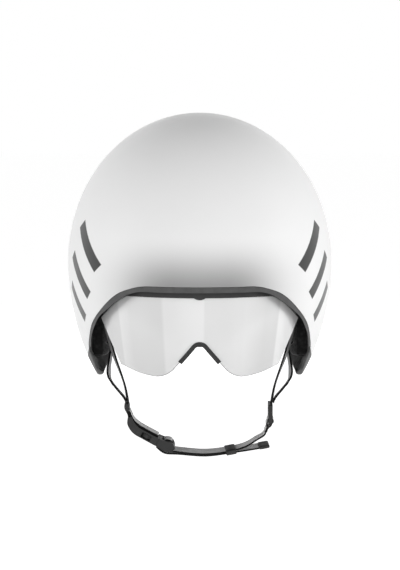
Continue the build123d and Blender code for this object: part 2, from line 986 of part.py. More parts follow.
def make_prong(side):
    """Sprung latch that snaps into a side window, on its round root."""
    inner = prong_root_y - prong_thickness / 2
    outer = prong_root_y + prong_thickness / 2
    corners = [
        (prong_knuckle_place, inner),
        (-prong_length, inner),
        (-prong_length, prong_tip),
        (-barb_place - barb_length, barb_back),
        (-barb_place - barb_length / 2, barb_reach),
        (-barb_place, barb_reach),
        (-barb_place, outer),
        (prong_knuckle_place, outer),
    ]
    corners = [(x, side * y) for x, y in corners]
    bar = Plane.XY.offset(-prong_height / 2) * make_face(Polyline(*corners, close=True))
    bar = extrude(bar, amount=prong_height)
    root = Pos(prong_knuckle_place, side * prong_root_y, 0) * Cylinder(prong_knuckle, prong_height)
    return in_buckle(bar + root)


def make_outer_strand():
    """Webbing from the join down to the back of the buckle."""
    start = (-join_x - strap_thickness / 2 - fit_gap, join_y, join_z - join_height / 2 - bond_gap)
    middle = at_buckle(-female_length - strap_thickness, 0, curl_rise / 2)
    end = at_buckle(-female_length - strap_thickness / 2, 0, 0)
    path = Spline(start, middle, end)
    return ribbon(path, strap_width, strap_thickness, upright_lean_shares, strand_stations)


def make_inner_strand():
    """Webbing that comes back over the buckle's inner face and ends there."""
    start = (-join_x + strap_thickness / 2 + fit_gap, join_y, join_z - join_height / 2 - 2 * bond_gap)
    points = [start]
    for a, b in inner_strand_shares:
        points.append(at_buckle(female_length * a, 0, buckle_thickness * b))
    path = Spline(*points, tangents=[inner_strand_heading_shares, at_buckle(1, 0, 0) - at_buckle(0, 0, 0)])
    return ribbon(path, strap_width, strap_thickness, upright_lean_shares, strap_stations)


loop_bar_z = adjuster_z - adjuster_height / 2 + adjuster_bar / 2


def chin_points(shares):
    """Route under the chin, from shares of its span, its reach forward and its rise."""
    return [
        (chin_span * a, join_y + (chin_y - join_y) * c, chin_low + chin_rise * b) for a, c, b in shares
    ]


def make_chin_strap():
    """Strap under the chin, from the plug to the sewn loop."""
    stem = Vector(adjuster_x - loop_end_x, 0, loop_bar_z - loop_end_z).normalized()
    end = Vector(loop_end_x, join_y, loop_end_z) - stem * 2 * bond_gap
    path = Spline(*chin_points(chin_shares), end, tangents=[chin_start_shares, stem])
    lean = [(0, 1, chin_tilt_share), (0, 1, chin_tilt_share), (0, 1, 0)]
    return ribbon(path, strap_width, strap_thickness, lean, chin_stations)


def make_loose_end():
    """Spare length of the chin strap, folded back under it."""
    path = Spline(*chin_points(loose_shares))
    lean = [(0, 1, chin_tilt_share), (0, 1, chin_tilt_share)]
    return ribbon(path, strap_width, strap_thickness, lean, chin_stations)


def web_frame(x, y, z, slope_angle):
    """Frame of a fitting on the chin strap: along the strap, across it and out of it."""
    turn = math.radians(slope_angle)
    along = Vector(math.cos(turn), 0, math.sin(turn))
    across = Vector(0, 1, chin_tilt_share)
    return Plane(origin=(x, y, z), x_dir=along, z_dir=along.cross(across))


def make_keeper():
    """Sleeve that holds the loose end against the chin strap."""
    sleeve = Box(keeper_length, keeper_width, keeper_thickness)
    sleeve = fillet(sleeve.edges().filter_by(Axis.X), keeper_wall)
    window = Box(
        keeper_length + overrun, keeper_width - 2 * keeper_wall, keeper_thickness - 2 * keeper_wall
    )
    return web_frame(keeper_x, chin_y, keeper_z, keeper_slope_angle).location * (sleeve - window)


def make_end_cap():
    """Moulded end on the loose webbing, hollow where the webbing goes in."""
    cap = Box(cap_length, cap_width, cap_thickness)
    cap = fillet(cap.edges().filter_by(Axis.Z), cap_thickness / 4)
    room = strap_thickness + 2 * fit_gap
    pocket = Pos(cap_slot_depth / 2 - cap_length / 2 - overrun / 2, 0, 0) * Box(
        cap_slot_depth + overrun, strap_width + 2 * fit_gap, room
    )
    y = chin_points(loose_shares)[-1][1]
    return web_frame(cap_x, y, cap_z, cap_slope_angle).location * (cap - pocket)


def make_adjuster():
    """Ladder with three bars: two for the straps, a round one for the chin loop."""
    plate = Box(adjuster_thickness, adjuster_width, adjuster_height)
    plate = fillet(plate.edges().filter_by(Axis.X), adjuster_bar / 3)
    slot_height = (adjuster_height - 3 * adjuster_bar) / 2
    slot_width = strap_width + 4 * fit_gap
    for side in (1, -1):
        z = side * (adjuster_bar + slot_height) / 2
        plate = plate - Pos(0, 0, z) * Box(adjuster_thickness + overrun, slot_width, slot_height)
    plate = Pos(adjuster_x, adjuster_y, adjuster_z) * plate
    low = Pos(adjuster_x, adjuster_y, loop_bar_z) * Box(
        adjuster_thickness + overrun, slot_width, adjuster_bar + fit_gap
    )
    bar = Pos(adjuster_x, adjuster_y, loop_bar_z) * Rot(90, 0, 0) * Cylinder(
        adjuster_bar / 2, slot_width + adjuster_bar / 2
    )
    return (plate - low) + bar


def make_chin_loop():
    """Sewn loop of webbing round the adjuster's lowest bar."""
    inner = adjuster_bar / 2 + loop_gap
    outer = inner + loop_wall
    centre = Vector(adjuster_x, loop_bar_z)
    end = Vector(loop_end_x, loop_end_z)
    stem = Line(centre, end)
    outline = (Pos(centre.X, centre.Y) * Circle(outer)) + trace(stem, line_width=2 * loop_wall)
    outline = outline - Pos(centre.X, centre.Y) * Circle(inner)
    back = adjuster_y + strap_width / 2
    return front_prism(outline, back, back - strap_width)


def make_pins():
    """Two temple pins that carry the cradle's arms in the liner."""
    shaft_start = arm_face - arm_thickness - 2 * fit_gap
    length = cavity_half_width + pin_length - shaft_start
    shaft = Pos(shaft_start + length / 2, pin_y, pin_z) * Rot(0, 90, 0) * Cylinder(pin_radius, length)
    head = Pos(shaft_start - pin_head_depth / 2, pin_y, pin_z) * Rot(0, 90, 0) * Cylinder(
        pin_head_radius, pin_head_depth
    )
    pin = shaft + head
    return Part(children=[pin, mirrored(pin)])


arm_face = cavity_place(pin_y, arm_inset) + arm_thickness / 2
pitch_radius = module * tooth_count / 2
tooth_pitch = math.pi * module
rack_top = pitch_radius + rack_dedendum + rack_back
rack_middle = pitch_radius + rack_dedendum + rack_back / 2


def make_arm(side):
    """Flexible arm from a temple pin round to the dial housing."""
    end_z = dial_z + side * rack_middle
    points = [(cavity_place(pin_y, arm_inset), pin_y, pin_z)]
    for depth_share, height_share in arm_shares:
        depth = pin_y + (rack_y - pin_y) * depth_share
        points.append((cavity_place(depth, arm_inset), depth, end_z + (pin_z - end_z) * height_share))
    points.append((arm_end_x + bond_gap, rack_y, end_z))
    path = Spline(*points, tangents=[(0, 1, 0), (-1, 0, 0)])
    band = ribbon(path, arm_height, arm_thickness, [(0, 0, 1), (0, 0, 1)], arm_stations)
    x = arm_face - arm_thickness / 2
    eye = Pos(x, pin_y, pin_z) * Rot(0, 90, 0) * Cylinder(pin_head_radius, arm_thickness)
    bore = Pos(x, pin_y, pin_z) * Rot(0, 90, 0) * Cylinder(pin_radius + running_gap, arm_thickness + overrun)
    arm = (band + eye) - bore
    return arm if side > 0 else mirrored(arm)


def gear_outline():
    """Stub-toothed pinion: involute flanks on a round root."""
    base = pitch_radius * math.cos(math.radians(pressure_angle))
    inv = math.tan(math.radians(pressure_angle)) - math.radians(pressure_angle)
    half_pitch = math.pi / (2 * tooth_count)
    tip = pitch_radius + pinion_addendum
    root = pitch_radius - pinion_dedendum
    flank = [(root, half_pitch + inv)]
    for index in range(flank_steps):
        radius = base + (tip - base) * index / (flank_steps - 1)
        roll = math.acos(base / radius)
        flank.append((radius, half_pitch + inv - (math.tan(roll) - roll)))
    corners = []
    for tooth in range(tooth_count):
        middle = math.pi / 2 + tooth * 2 * math.pi / tooth_count
        for radius, half in flank:
            corners.append((radius * math.cos(middle - half), radius * math.sin(middle - half)))
        for radius, half in reversed(flank):
            corners.append((radius * math.cos(middle + half), radius * math.sin(middle + half)))
    return make_face(Polyline(*corners, close=True))


def make_pinion():
    """Pinion on its shaft, between the cover's bore and the knob."""
    gear = front_prism(Pos(0, dial_z) * gear_outline(), rack_y + pinion_width / 2, rack_y - pinion_width / 2)
    shaft_front = cover_front + pad_edge
    shaft_back = housing_back + knob_gap + knob_height / 2
    shaft = front_prism(Pos(0, dial_z) * Circle(shaft_radius), shaft_back, shaft_front)
    return gear + shaft


def make_knob():
    """Ribbed dial with a dished face."""
    front = housing_back + knob_gap
    back = front + knob_height
    body = front_prism(Pos(0, dial_z) * Circle(knob_radius), back, front)
    body = fillet(body.edges().filter_by(GeomType.CIRCLE).sort_by(Axis.Y)[-1], knob_rib_radius)
    for index in range(knob_rib_count):
        turn = 2 * math.pi * index / knob_rib_count
        x = knob_radius * math.cos(turn)
        z = dial_z + knob_radius * math.sin(turn)
        body = body - front_prism(Pos(x, z) * Circle(knob_rib_radius), back + overrun, front + knob_rib_radius)
    dish = front_prism(Pos(0, dial_z) * Circle(knob_radius / 2), back + overrun, back - knob_rib_radius)
    bore = front_prism(
        Pos(0, dial_z) * Circle(shaft_radius + running_gap),
        housing_back + knob_gap + knob_height / 2 + running_gap,
        front - overrun,
    )
    return body - dish - bore


def rack_outline():
    """Rack for the upper side of the pinion, with its teeth pointing down."""
    lean = math.tan(math.radians(pressure_angle))
    half = tooth_pitch / 4 - backlash / 2
    root = pitch_radius + rack_dedendum
    tip = pitch_radius - rack_addendum
    corners = [(-rack_inner, root)]
    for index in range(rack_tooth_count):
        x = (rack_first_tooth + index) * tooth_pitch
        root_half = half + rack_dedendum * lean
        tip_half = half - rack_addendum * lean
        corners += [(x - root_half, root), (x - tip_half, tip), (x + tip_half, tip), (x + root_half, root)]
    corners += [(arm_end_x, root), (arm_end_x, rack_top), (-rack_inner, rack_top)]
    return make_face(Polyline(*corners, close=True))


def make_rack(side):
    """Toothed strip that the dial draws in, one for each arm."""
    outline = rack_outline()
    if side < 0:
        outline = Rot(0, 0, 180) * outline
    return front_prism(Pos(0, dial_z) * outline, rack_y + rack_thickness / 2, rack_y - rack_thickness / 2)


housing_reach = rack_top + housing_margin


def housing_plate(back, front, corner):
    plate = Pos(0, dial_z) * RectangleRounded(2 * housing_half, 2 * housing_reach, corner)
    return front_prism(plate, back, front)


def screw_places():
    z = rack_top + fit_gap + (housing_margin - fit_gap) / 2
    return [(x, dial_z + side * z) for x in (-screw_offset, screw_offset) for side in (1, -1)]


def make_housing():
    """Back half of the dial housing: channel for the racks, bores and the strip's slot."""
    body = housing_plate(housing_back, housing_front, housing_corner)
    channel = Pos(0, dial_z) * Rectangle(4 * housing_half, 2 * (rack_top + fit_gap))
    gap = rack_thickness / 2 + fit_gap
    body = body - front_prism(channel, rack_y + gap, housing_front - overrun)
    well = Pos(0, dial_z) * Circle(pitch_radius + pinion_addendum + fit_gap)
    body = body - front_prism(well, rack_y + pinion_width / 2 + fit_gap, housing_front - overrun)
    bore = Pos(0, dial_z) * Circle(shaft_radius + running_gap)
    body = body - front_prism(bore, housing_back + overrun, housing_front - overrun)
    slot_low = dial_z + pitch_radius
    slot = Pos(0, strip_foot_y, slot_low) * Box(
        strip_width + 2 * fit_gap,
        strip_thickness + 2 * fit_gap,
        housing_reach + overrun,
        align=(Align.CENTER, Align.CENTER, Align.MIN),
    )
    body = body - slot
    for x, z in screw_places():
        hole = Pos(x, z) * Circle(screw_radius + running_gap)
        body = body - front_prism(hole, screw_end + fit_gap, housing_front - overrun)
    return body


screw_end = cover_front + screw_head_depth + screw_length


def make_cover():
    """Front half of the dial housing, against the head, with a channel lip."""
    body = housing_plate(housing_front - fit_gap, cover_front, housing_corner)
    bore = Pos(0, dial_z) * Circle(shaft_radius + running_gap)
    body = body - front_prism(bore, housing_front + overrun, cover_front + pad_edge - running_gap)
    for x, z in screw_places():
        hole = Pos(x, z) * Circle(screw_radius + running_gap)
        body = body - front_prism(hole, housing_front + overrun, cover_front - overrun)
        head = Pos(x, z) * Circle(screw_head_radius + running_gap)
        body = body - front_prism(head, cover_front + screw_head_depth + running_gap, cover_front - overrun)
    return body


def make_screws():
    """Four self-tapping screws with sunk heads."""
    screws = []
    for x, z in screw_places():
        shank = front_prism(Pos(x, z) * Circle(screw_radius), screw_end, cover_front)
        head = front_prism(Pos(x, z) * Circle(screw_head_radius), cover_front + screw_head_depth, cover_front)
        slot = Pos(x, cover_front, z) * Box(
            2 * screw_head_radius, screw_head_depth, screw_head_depth / 3
        )
        screws.append(shank + head - slot)
    return Part(children=screws)


def make_nape_pads():
    """Two cushions on the housing's cover, against the nape."""
    pads = []
    back = cover_front - bond_gap
    for side in (1, -1):
        slab = Pos(side * nape_pad_x, dial_z) * RectangleRounded(
            nape_pad_width, nape_pad_height, nape_pad_thickness
        )
        pad = front_prism(slab, back, back - nape_pad_thickness)
        rim = pad.edges().group_by(Axis.Y)[0]
        pads.append(fillet(rim, nape_pad_thickness / 2))
    return Part(children=pads)


def make_strip():
    """Strip that hangs the housing from the liner, with slots for its height."""
    foot = dial_z + pitch_radius + fit_gap
    line = FilletPolyline(
        (strip_foot_y, foot),
        (strip_foot_y, dial_z + housing_reach + 2 * strip_thickness),
        (strip_top_y, strip_bend_z),
        (strip_top_y, strip_top_z),
        radius=strip_thickness * 3,
    )
    strip = side_prism(trace(line, line_width=strip_thickness), -strip_width / 2, strip_width / 2)
    for index in range(strip_slot_count):
        z = strip_bend_z + strip_slot_pitch * (index + 1)
        strip = strip - Pos(0, strip_top_y, z) * Box(
            strip_slot_width, strip_thickness + overrun, strip_slot_height
        )
    return strip


def make_socket():
    """Guide on the liner's back wall that the height strip slides in."""
    back = cavity_half_length
    height = socket_high - socket_low
    middle = (socket_high + socket_low) / 2
    block = Pos(0, (socket_front_y + back) / 2, middle) * Box(socket_width, back - socket_front_y, height)
    block = block & cavity(bond_gap)
    near = strip_top_y - strip_thickness / 2 - socket_swing
    far = strip_top_y + strip_thickness / 2 + socket_swing
    window_width = strip_width + 4 * fit_gap
    window = Pos(0, (near + far) / 2, middle) * Box(window_width, far - near, height + overrun)
    return block - window


def build():
    """Every piece of the helmet under its own name."""
    parts = {}
    parts["outer_shell"] = make_outer_shell()
    parts["eps_liner"] = make_liner()
    parts["face_rim"] = make_rim()
    parts["neck_trim"] = make_neck_trim()
    parts["tail_vent"] = make_vent()
    parts["visor_lens"] = make_lens()
    parts["visor_carrier"] = make_carrier()
    parts["nose_piece"] = make_nose_piece()
    parts["visor_magnets"] = magnets(carrier_magnet_z)
    parts["brow_magnets"] = magnets(rim_rise + magnet_gap + magnet_height / 2)
    parts["brow_pad"] = make_brow_pad()
    parts["crown_pad"] = make_crown_pad(0, crown_pad_length, crown_pad_width)
    left = {
        "crown_pad": make_crown_pad(crown_side_pad_x, crown_side_pad_length, crown_side_pad_width),
        "side_pad": make_side_pad(),
        "ear_pad": make_ear_pad(),
        "front_anchor": make_anchor(front_anchor_y, front_anchor_z),
        "rear_anchor": make_anchor(rear_anchor_y, rear_anchor_z),
        "front_strap": make_front_strap(),
        "rear_strap": make_rear_strap(),
    }
    for name, shape in left.items():
        parts[name + "_left"] = shape
        parts[name + "_right"] = mirrored(shape)
    parts["strap_join"] = make_join()
    parts["outer_strand"] = make_outer_strand()
    parts["inner_strand"] = make_inner_strand()
    parts["buckle_socket"] = make_female()
    parts["buckle_plug"] = make_male()
    parts["prong_rear"] = make_prong(1)
    parts["prong_front"] = make_prong(-1)
    parts["chin_strap"] = make_chin_strap()
    parts["loose_end"] = make_loose_end()
    parts["strap_keeper"] = make_keeper()
    parts["end_cap"] = make_end_cap()
    parts["strap_adjuster"] = make_adjuster()
    parts["chin_loop"] = make_chin_loop()
    parts["temple_pins"] = make_pins()
    parts["cradle_arm_left"] = make_arm(1)
    parts["cradle_arm_right"] = make_arm(-1)
    parts["rack_left"] = make_rack(1)
    parts["rack_right"] = make_rack(-1)
    parts["dial_pinion"] = make_pinion()
    parts["dial_knob"] = make_knob()
    parts["dial_housing"] = make_housing()
    parts["housing_cover"] = make_cover()
    parts["housing_screws"] = make_screws()
    parts["nape_pads"] = make_nape_pads()
    parts["height_strip"] = make_strip()
    parts["height_guide"] = make_socket()
    return parts


os.makedirs("parts", exist_ok=True)
for name, shape in build().items():
    export_step(shape, "parts/" + name + ".step")
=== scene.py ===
import math

import bmesh
import bpy
import numpy as np
from mathutils import Matrix, Vector


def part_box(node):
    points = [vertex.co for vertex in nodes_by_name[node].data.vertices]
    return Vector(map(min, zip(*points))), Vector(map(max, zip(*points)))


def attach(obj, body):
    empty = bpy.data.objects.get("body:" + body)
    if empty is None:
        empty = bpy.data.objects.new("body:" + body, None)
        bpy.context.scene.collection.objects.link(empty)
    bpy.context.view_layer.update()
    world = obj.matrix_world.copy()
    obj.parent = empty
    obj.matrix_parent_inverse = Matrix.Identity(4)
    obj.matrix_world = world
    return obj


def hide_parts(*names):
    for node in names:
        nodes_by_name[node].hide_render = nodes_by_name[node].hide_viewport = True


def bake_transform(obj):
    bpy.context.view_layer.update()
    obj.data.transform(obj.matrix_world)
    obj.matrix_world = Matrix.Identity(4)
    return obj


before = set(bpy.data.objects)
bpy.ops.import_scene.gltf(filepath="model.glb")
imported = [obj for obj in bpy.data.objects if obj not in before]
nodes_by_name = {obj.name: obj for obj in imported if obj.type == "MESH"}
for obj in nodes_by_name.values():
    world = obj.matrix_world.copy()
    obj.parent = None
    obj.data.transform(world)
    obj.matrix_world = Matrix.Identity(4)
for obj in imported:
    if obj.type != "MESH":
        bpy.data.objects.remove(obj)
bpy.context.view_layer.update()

# All sizes are in metres. The helmet faces negative Y and positive X is the wearer's left.

# Camera, as the photograph was taken
camera_distance = 2.0
camera_elevation = 8
camera_target = (0, 0, 0.051)
camera_lens = 100.1
sensor_height = 24
camera_shift = 0.0005

# Cavity for the head
cavity_half_width = 0.084
cavity_half_length = 0.108
cavity_rise = 0.1
cavity_spring = 0.045
wall_gap = 0.0003

# Webbing
strap_width = 0.015
strap_thickness = 0.0015
strap_end = 0.0075
strap_lift = 0.00185


class Graph:
    """A node tree that is being put together."""

    def __init__(self, block):
        block.use_nodes = True
        self.nodes = block.node_tree.nodes
        self.links = block.node_tree.links

    def node(self, kind, inputs=None, **settings):
        made = self.nodes.new(kind)
        for key, value in settings.items():
            setattr(made, key, value)
        for key, value in (inputs or {}).items():
            if isinstance(value, bpy.types.NodeSocket):
                self.links.new(value, made.inputs[key])
            else:
                made.inputs[key].default_value = value
        return made

    def math(self, operation, first, second=0.0, third=0.0):
        made = self.node("ShaderNodeMath", {0: first, 1: second, 2: third}, operation=operation)
        return made.outputs[0]

    def range(self, value, low, high, to_low=0.0, to_high=1.0, smooth=False):
        kind = "SMOOTHSTEP" if smooth else "LINEAR"
        inputs = {0: value, 1: low, 2: high, 3: to_low, 4: to_high}
        return self.node("ShaderNodeMapRange", inputs, interpolation_type=kind).outputs[0]

    def axes(self, vector):
        return self.node("ShaderNodeSeparateXYZ", {0: vector}).outputs

    def dot(self, first, second):
        made = self.node("ShaderNodeVectorMath", {0: first, 1: second}, operation="DOT_PRODUCT")
        return made.outputs["Value"]


class Recipe(Graph):
    """A material that is being put together."""

    def __init__(self, name, **sockets):
        self.material = bpy.data.materials.new(name)
        super().__init__(self.material)
        self.shader = self.nodes["Principled BSDF"]
        for socket, value in sockets.items():
            label = socket.replace("_", " ").title().replace("Ior", "IOR")
            self.shader.inputs[label].default_value = value

    def place(self):
        return self.node("ShaderNodeTexCoord").outputs["Object"]

    def noise(self, scale, detail):
        inputs = {"Vector": self.place(), "Scale": scale, "Detail": detail}
        return self.node("ShaderNodeTexNoise", inputs).outputs["Fac"]

    def cells(self, scale):
        made = self.node("ShaderNodeTexVoronoi", {"Vector": self.place(), "Scale": scale})
        return made.outputs["Distance"]

    def mix(self, share, first, second):
        made = self.node("ShaderNodeMix", {0: share, 6: first, 7: second}, data_type="RGBA")
        return made.outputs[2]

    def greys(self, share, first, second):
        return self.mix(share, grey(first), grey(second))

    def inside(self, value, low, high, soft, soft_high=None):
        """1 between two limits, with soft edges."""
        soft_high = soft if soft_high is None else soft_high
        rise = self.range(value, low - soft, low + soft)
        fall = self.range(value, high - soft_high, high + soft_high, 1.0, 0.0)
        return self.math("MULTIPLY", rise, fall)

    def colour(self, value):
        self.links.new(value, self.shader.inputs["Base Color"])

    def roughness(self, value):
        self.links.new(value, self.shader.inputs["Roughness"])

    def gloss(self, scale, detail, low, high):
        """Roughness that wanders between two levels."""
        self.roughness(self.range(self.noise(scale, detail), noise_low, noise_high, low, high))

    def bump(self, height, strength, distance):
        inputs = {"Height": height, "Strength": strength, "Distance": distance}
        self.links.new(self.node("ShaderNodeBump", inputs).outputs[0], self.shader.inputs["Normal"])

    def grain(self, scale, detail, strength, distance):
        """Fine bumps of noise."""
        self.bump(self.noise(scale, detail), strength, distance)


def grey(level):
    return (level, level, level, 1)


# Surfaces. A cloud is a noise scale and its detail. A gloss adds the two roughness levels that it runs
# between, and a grain adds the strength and the distance of its bumps. A ramp is two values and what they
# turn into.
noise_low = 0.3
noise_high = 0.7

# Lacquer of the shell
lacquer_cloud = (18, 3)
lacquer_greys = (0.80, 0.83)
lacquer_gloss = (60, 2, 0.31, 0.38)
lacquer_grain = (900, 1, 0.04, 0.0002)

# Printed bars on the shell's sides: place along and across their lean, half length and half width
bar_lean = math.radians(40)
bar_spots = (
    (0.009, 0.113, 0.025, 0.0045),
    (-0.001, 0.0895, 0.023, 0.0045),
    (-0.0095, 0.0665, 0.019, 0.0045),
)
bar_soft = 0.0003
bar_grey = 0.022

# Painted shade above the brow: a soft grey darkening in the lacquer's colour that stands in for the shading
# there
brow_painted_shade_grey = 0.2
brow_painted_shade_strength = 0.92
brow_painted_shade_low = 0.062
brow_painted_shade_high = 0.106
brow_painted_shade_near = 0.02
brow_painted_shade_far = 0.095


def shell_paint():
    """White lacquer with slanted dark bars on both sides and a painted shade above the brow."""
    recipe = Recipe("white_lacquer", coat_weight=0.2, coat_roughness=0.12, specular_ior_level=0.45)
    white = recipe.greys(recipe.noise(*lacquer_cloud), *lacquer_greys)
    axes = recipe.axes(recipe.place())
    depth, height = axes["Y"], axes["Z"]
    along = recipe.math("MULTIPLY", depth, math.cos(bar_lean))
    along = recipe.math("MULTIPLY_ADD", height, math.sin(bar_lean), along)
    across = recipe.math("MULTIPLY", depth, -math.sin(bar_lean))
    across = recipe.math("MULTIPLY_ADD", height, math.cos(bar_lean), across)
    cover = 0.0
    for centre, row, half, thick in bar_spots:
        length = recipe.inside(along, centre - half, centre + half, bar_soft)
        stripe = recipe.inside(across, row - thick, row + thick, bar_soft)
        cover = recipe.math("MAXIMUM", recipe.math("MULTIPLY", stripe, length), cover)
    # Painted shade: grey darkening of the lacquer above the brow, strongest in the middle
    brow = recipe.range(height, brow_painted_shade_low, brow_painted_shade_high, 1.0, 0.0, smooth=True)
    aside = recipe.math("ABSOLUTE", axes["X"])
    middle = recipe.range(aside, brow_painted_shade_near, brow_painted_shade_far, 1.0, 0.0, smooth=True)
    shade = recipe.math("MULTIPLY", recipe.math("MULTIPLY", brow, middle), brow_painted_shade_strength)
    white = recipe.mix(shade, white, grey(brow_painted_shade_grey))
    recipe.colour(recipe.mix(cover, white, grey(bar_grey)))
    recipe.gloss(*lacquer_gloss)
    recipe.grain(*lacquer_grain)
    return recipe.material


# Moulded plastic and rubber
wear_cloud = (140, 4)
wear_low = 0.35
wear_high = 0.7
wear_gain = 1.35
moulded_cloud = (220, 3)
moulded_spread = 0.06
moulded_grain = (1400, 2, 0.12, 0.0003)
buckle_grain = (2200, 2, 0.06, 0.0003)

# Painted shade on the neck trim's inner side, where shade falls inside the helmet
inner_painted_shade_grey = 0.008
inside_low = 0.25
inside_high = 0.6


def facing_in(recipe):
    """1 on faces that turn to the head or to the front, 0 on those that turn outwards."""
    place = recipe.axes(recipe.place())
    depth = recipe.math("MAXIMUM", place["Y"], 0.0)
    outward = recipe.node("ShaderNodeCombineXYZ", {0: place["X"], 1: depth}).outputs[0]
    outward = recipe.node("ShaderNodeVectorMath", {0: outward}, operation="NORMALIZE").outputs["Vector"]
    normal = recipe.node("ShaderNodeNewGeometry").outputs["Normal"]
    return recipe.range(recipe.dot(normal, outward), inside_low, inside_high, 1.0, 0.0)


def moulded(name, level, rough, grain=moulded_grain, coat=0.0, painted_inner_shade=False):
    """Moulded plastic or rubber with a fine grain and faint wear; on request, a painted shade on faces
    turned inward.
    """
    recipe = Recipe(name, coat_weight=coat, coat_roughness=0.2)
    wear = recipe.range(recipe.noise(*wear_cloud), wear_low, wear_high)
    colour = recipe.greys(wear, level, level * wear_gain)
    if painted_inner_shade:
        # Painted shade: near black on faces that turn to the head or to the front
        colour = recipe.mix(facing_in(recipe), colour, grey(inner_painted_shade_grey))
    recipe.colour(colour)
    recipe.gloss(*moulded_cloud, rough - moulded_spread, rough + moulded_spread)
    recipe.grain(*grain)
    return recipe.material


# Bead foam, by the distance from the middle of a bead
bead_scale = 330
bead_seam = (0.2, 0.65)
bead_greys = (0.020, 0.010)
bead_rough_ramp = (0.0, 0.8, 0.62, 0.85)
bead_height_ramp = (0.0, 0.7, 1.0, 0.0)
bead_bump = (0.35, 0.0006)


def foam():
    """Dark expanded foam with pressed beads."""
    recipe = Recipe("bead_foam", specular_ior_level=0.3)
    bead = recipe.cells(bead_scale)
    recipe.colour(recipe.greys(recipe.range(bead, *bead_seam), *bead_greys))
    recipe.roughness(recipe.range(bead, *bead_rough_ramp))
    recipe.bump(recipe.range(bead, *bead_height_ramp), *bead_bump)
    return recipe.material


# Painted reflections of the lens, darker upright bands in its colour that stand in for mirrored studio
# lights: start and end across it, how soft both edges are, and their depth
lens_reflection_bands = (
    (-0.0790, -0.0650, 0.0060, 0.0006, 0.11),
    (-0.0600, -0.0295, 0.0040, 0.0012, 0.10),
    (0.0035, 0.0200, 0.0008, 0.0100, 0.08),
    (0.0215, 0.0450, 0.0120, 0.0080, 0.04),
    (0.0450, 0.0635, 0.0080, 0.0007, 0.17),
    (0.0690, 0.0820, 0.0020, 0.0040, 0.09),
)
lens_reflection_height = 0.041
lens_reflection_lean = 1.85
lens_line = 0.0016
lens_line_grey = 0.07
lens_line_ramp = (0.90, 0.99, 1.0, 0.0)
lens_cloud = (9, 2)
lens_greys = (0.72, 0.75)
lens_gloss = (40, 2, 0.16, 0.22)


def mirror_coat():
    """Silvered lens with soft upright painted reflection bands and a darker cut edge."""
    recipe = Recipe(
        "silver_lens", metallic=0.12, coat_weight=0.1, coat_roughness=0.05, specular_ior_level=0.4
    )
    silver = recipe.greys(recipe.noise(*lens_cloud), *lens_greys)
    axes = recipe.axes(recipe.place())
    spread = recipe.math("MULTIPLY_ADD", axes["Z"], -lens_reflection_lean, 1 + lens_reflection_lean * lens_reflection_height)
    across = recipe.math("MULTIPLY", axes["X"], spread)
    # Painted reflections: darker upright bands across the silver
    shade = 0.0
    for start, end, soft, soft_end, depth in lens_reflection_bands:
        reflection_cover = recipe.inside(across, start, end, soft, soft_end)
        shade = recipe.math("MULTIPLY_ADD", reflection_cover, depth, shade)
    silver = recipe.mix(shade, silver, grey(0.0))
    bent = recipe.node("ShaderNodeBevel", {"Radius": lens_line}, samples=6).outputs[0]
    true = recipe.node("ShaderNodeNewGeometry").outputs["Normal"]
    edge = recipe.range(recipe.dot(bent, true), *lens_line_ramp)
    recipe.colour(recipe.mix(edge, silver, grey(lens_line_grey)))
    recipe.gloss(*lens_gloss)
    return recipe.material


# Metal of the magnets and screws
metal_cloud = (500, 3)
metal_shade = 0.85
metal_gloss_cloud = (900, 2)
metal_smoother = 0.05
metal_rougher = 0.08


def metal(name, level, rough):
    """Bare metal with faint stains."""
    recipe = Recipe(name, metallic=1.0)
    recipe.colour(recipe.greys(recipe.noise(*metal_cloud), level, level * metal_shade))
    recipe.gloss(*metal_gloss_cloud, rough - metal_smoother, rough + metal_rougher)
    return recipe.material


# Knitted mesh, by the distance from the middle of a hole
hole_scale = 620
hole_edge = (0.15, 0.5)
knit_greys = (0.012, 0.045)
knit_rough_ramp = (0.0, 0.6, 0.75, 0.92)
knit_height_ramp = (0.0, 0.6, 0.0, 1.0)
knit_bump = (0.5, 0.0005)


def knit():
    """Black knitted mesh over the cushions."""
    recipe = Recipe("knit_mesh", sheen_weight=0.35, sheen_roughness=0.5, specular_ior_level=0.25)
    hole = recipe.cells(hole_scale)
    recipe.colour(recipe.greys(recipe.range(hole, *hole_edge), *knit_greys))
    recipe.roughness(recipe.range(hole, *knit_rough_ramp))
    recipe.bump(recipe.range(hole, *knit_height_ramp), *knit_bump)
    return recipe.material


# Weave of the webbing. The black along both edges starts at a share of the width from its middle.
pick_pitch = 0.0011
pick_lean = 0.006
warp_count = 11
weave_swing = 0.7
weave_greys = (0.42, 0.64)
weave_rough_ramp = (0.0, 1.0, 0.78, 0.62)
weave_bump = (0.5, 0.0002)
edge_band_start = (0.405, 0.42)
edge_band_grey = 0.005


def webbing():
    """Grey woven band, black along both edges; the map runs across it and along it."""
    recipe = Recipe("grey_webbing", sheen_weight=0.04, sheen_roughness=0.4, specular_ior_level=0.2)
    parts = recipe.axes(recipe.node("ShaderNodeUVMap", uv_map="band").outputs[0])
    across, along = parts["X"], parts["Y"]
    off = recipe.math("ABSOLUTE", recipe.math("SUBTRACT", across, 0.5))
    fold = recipe.math("MULTIPLY_ADD", off, pick_lean, along)
    pick = recipe.math("SINE", recipe.math("MULTIPLY", fold, 2 * math.pi / pick_pitch))
    warp = recipe.math("SINE", recipe.math("MULTIPLY", across, 2 * math.pi * warp_count))
    ribs = recipe.range(recipe.math("MULTIPLY", pick, warp), -weave_swing, weave_swing)
    body = recipe.greys(ribs, *weave_greys)
    # Near black along both edges of the band, on both faces
    edge = recipe.range(off, *edge_band_start)
    recipe.colour(recipe.mix(edge, body, grey(edge_band_grey)))
    recipe.roughness(recipe.range(ribs, *weave_rough_ramp))
    recipe.bump(ribs, *weave_bump)
    return recipe.material


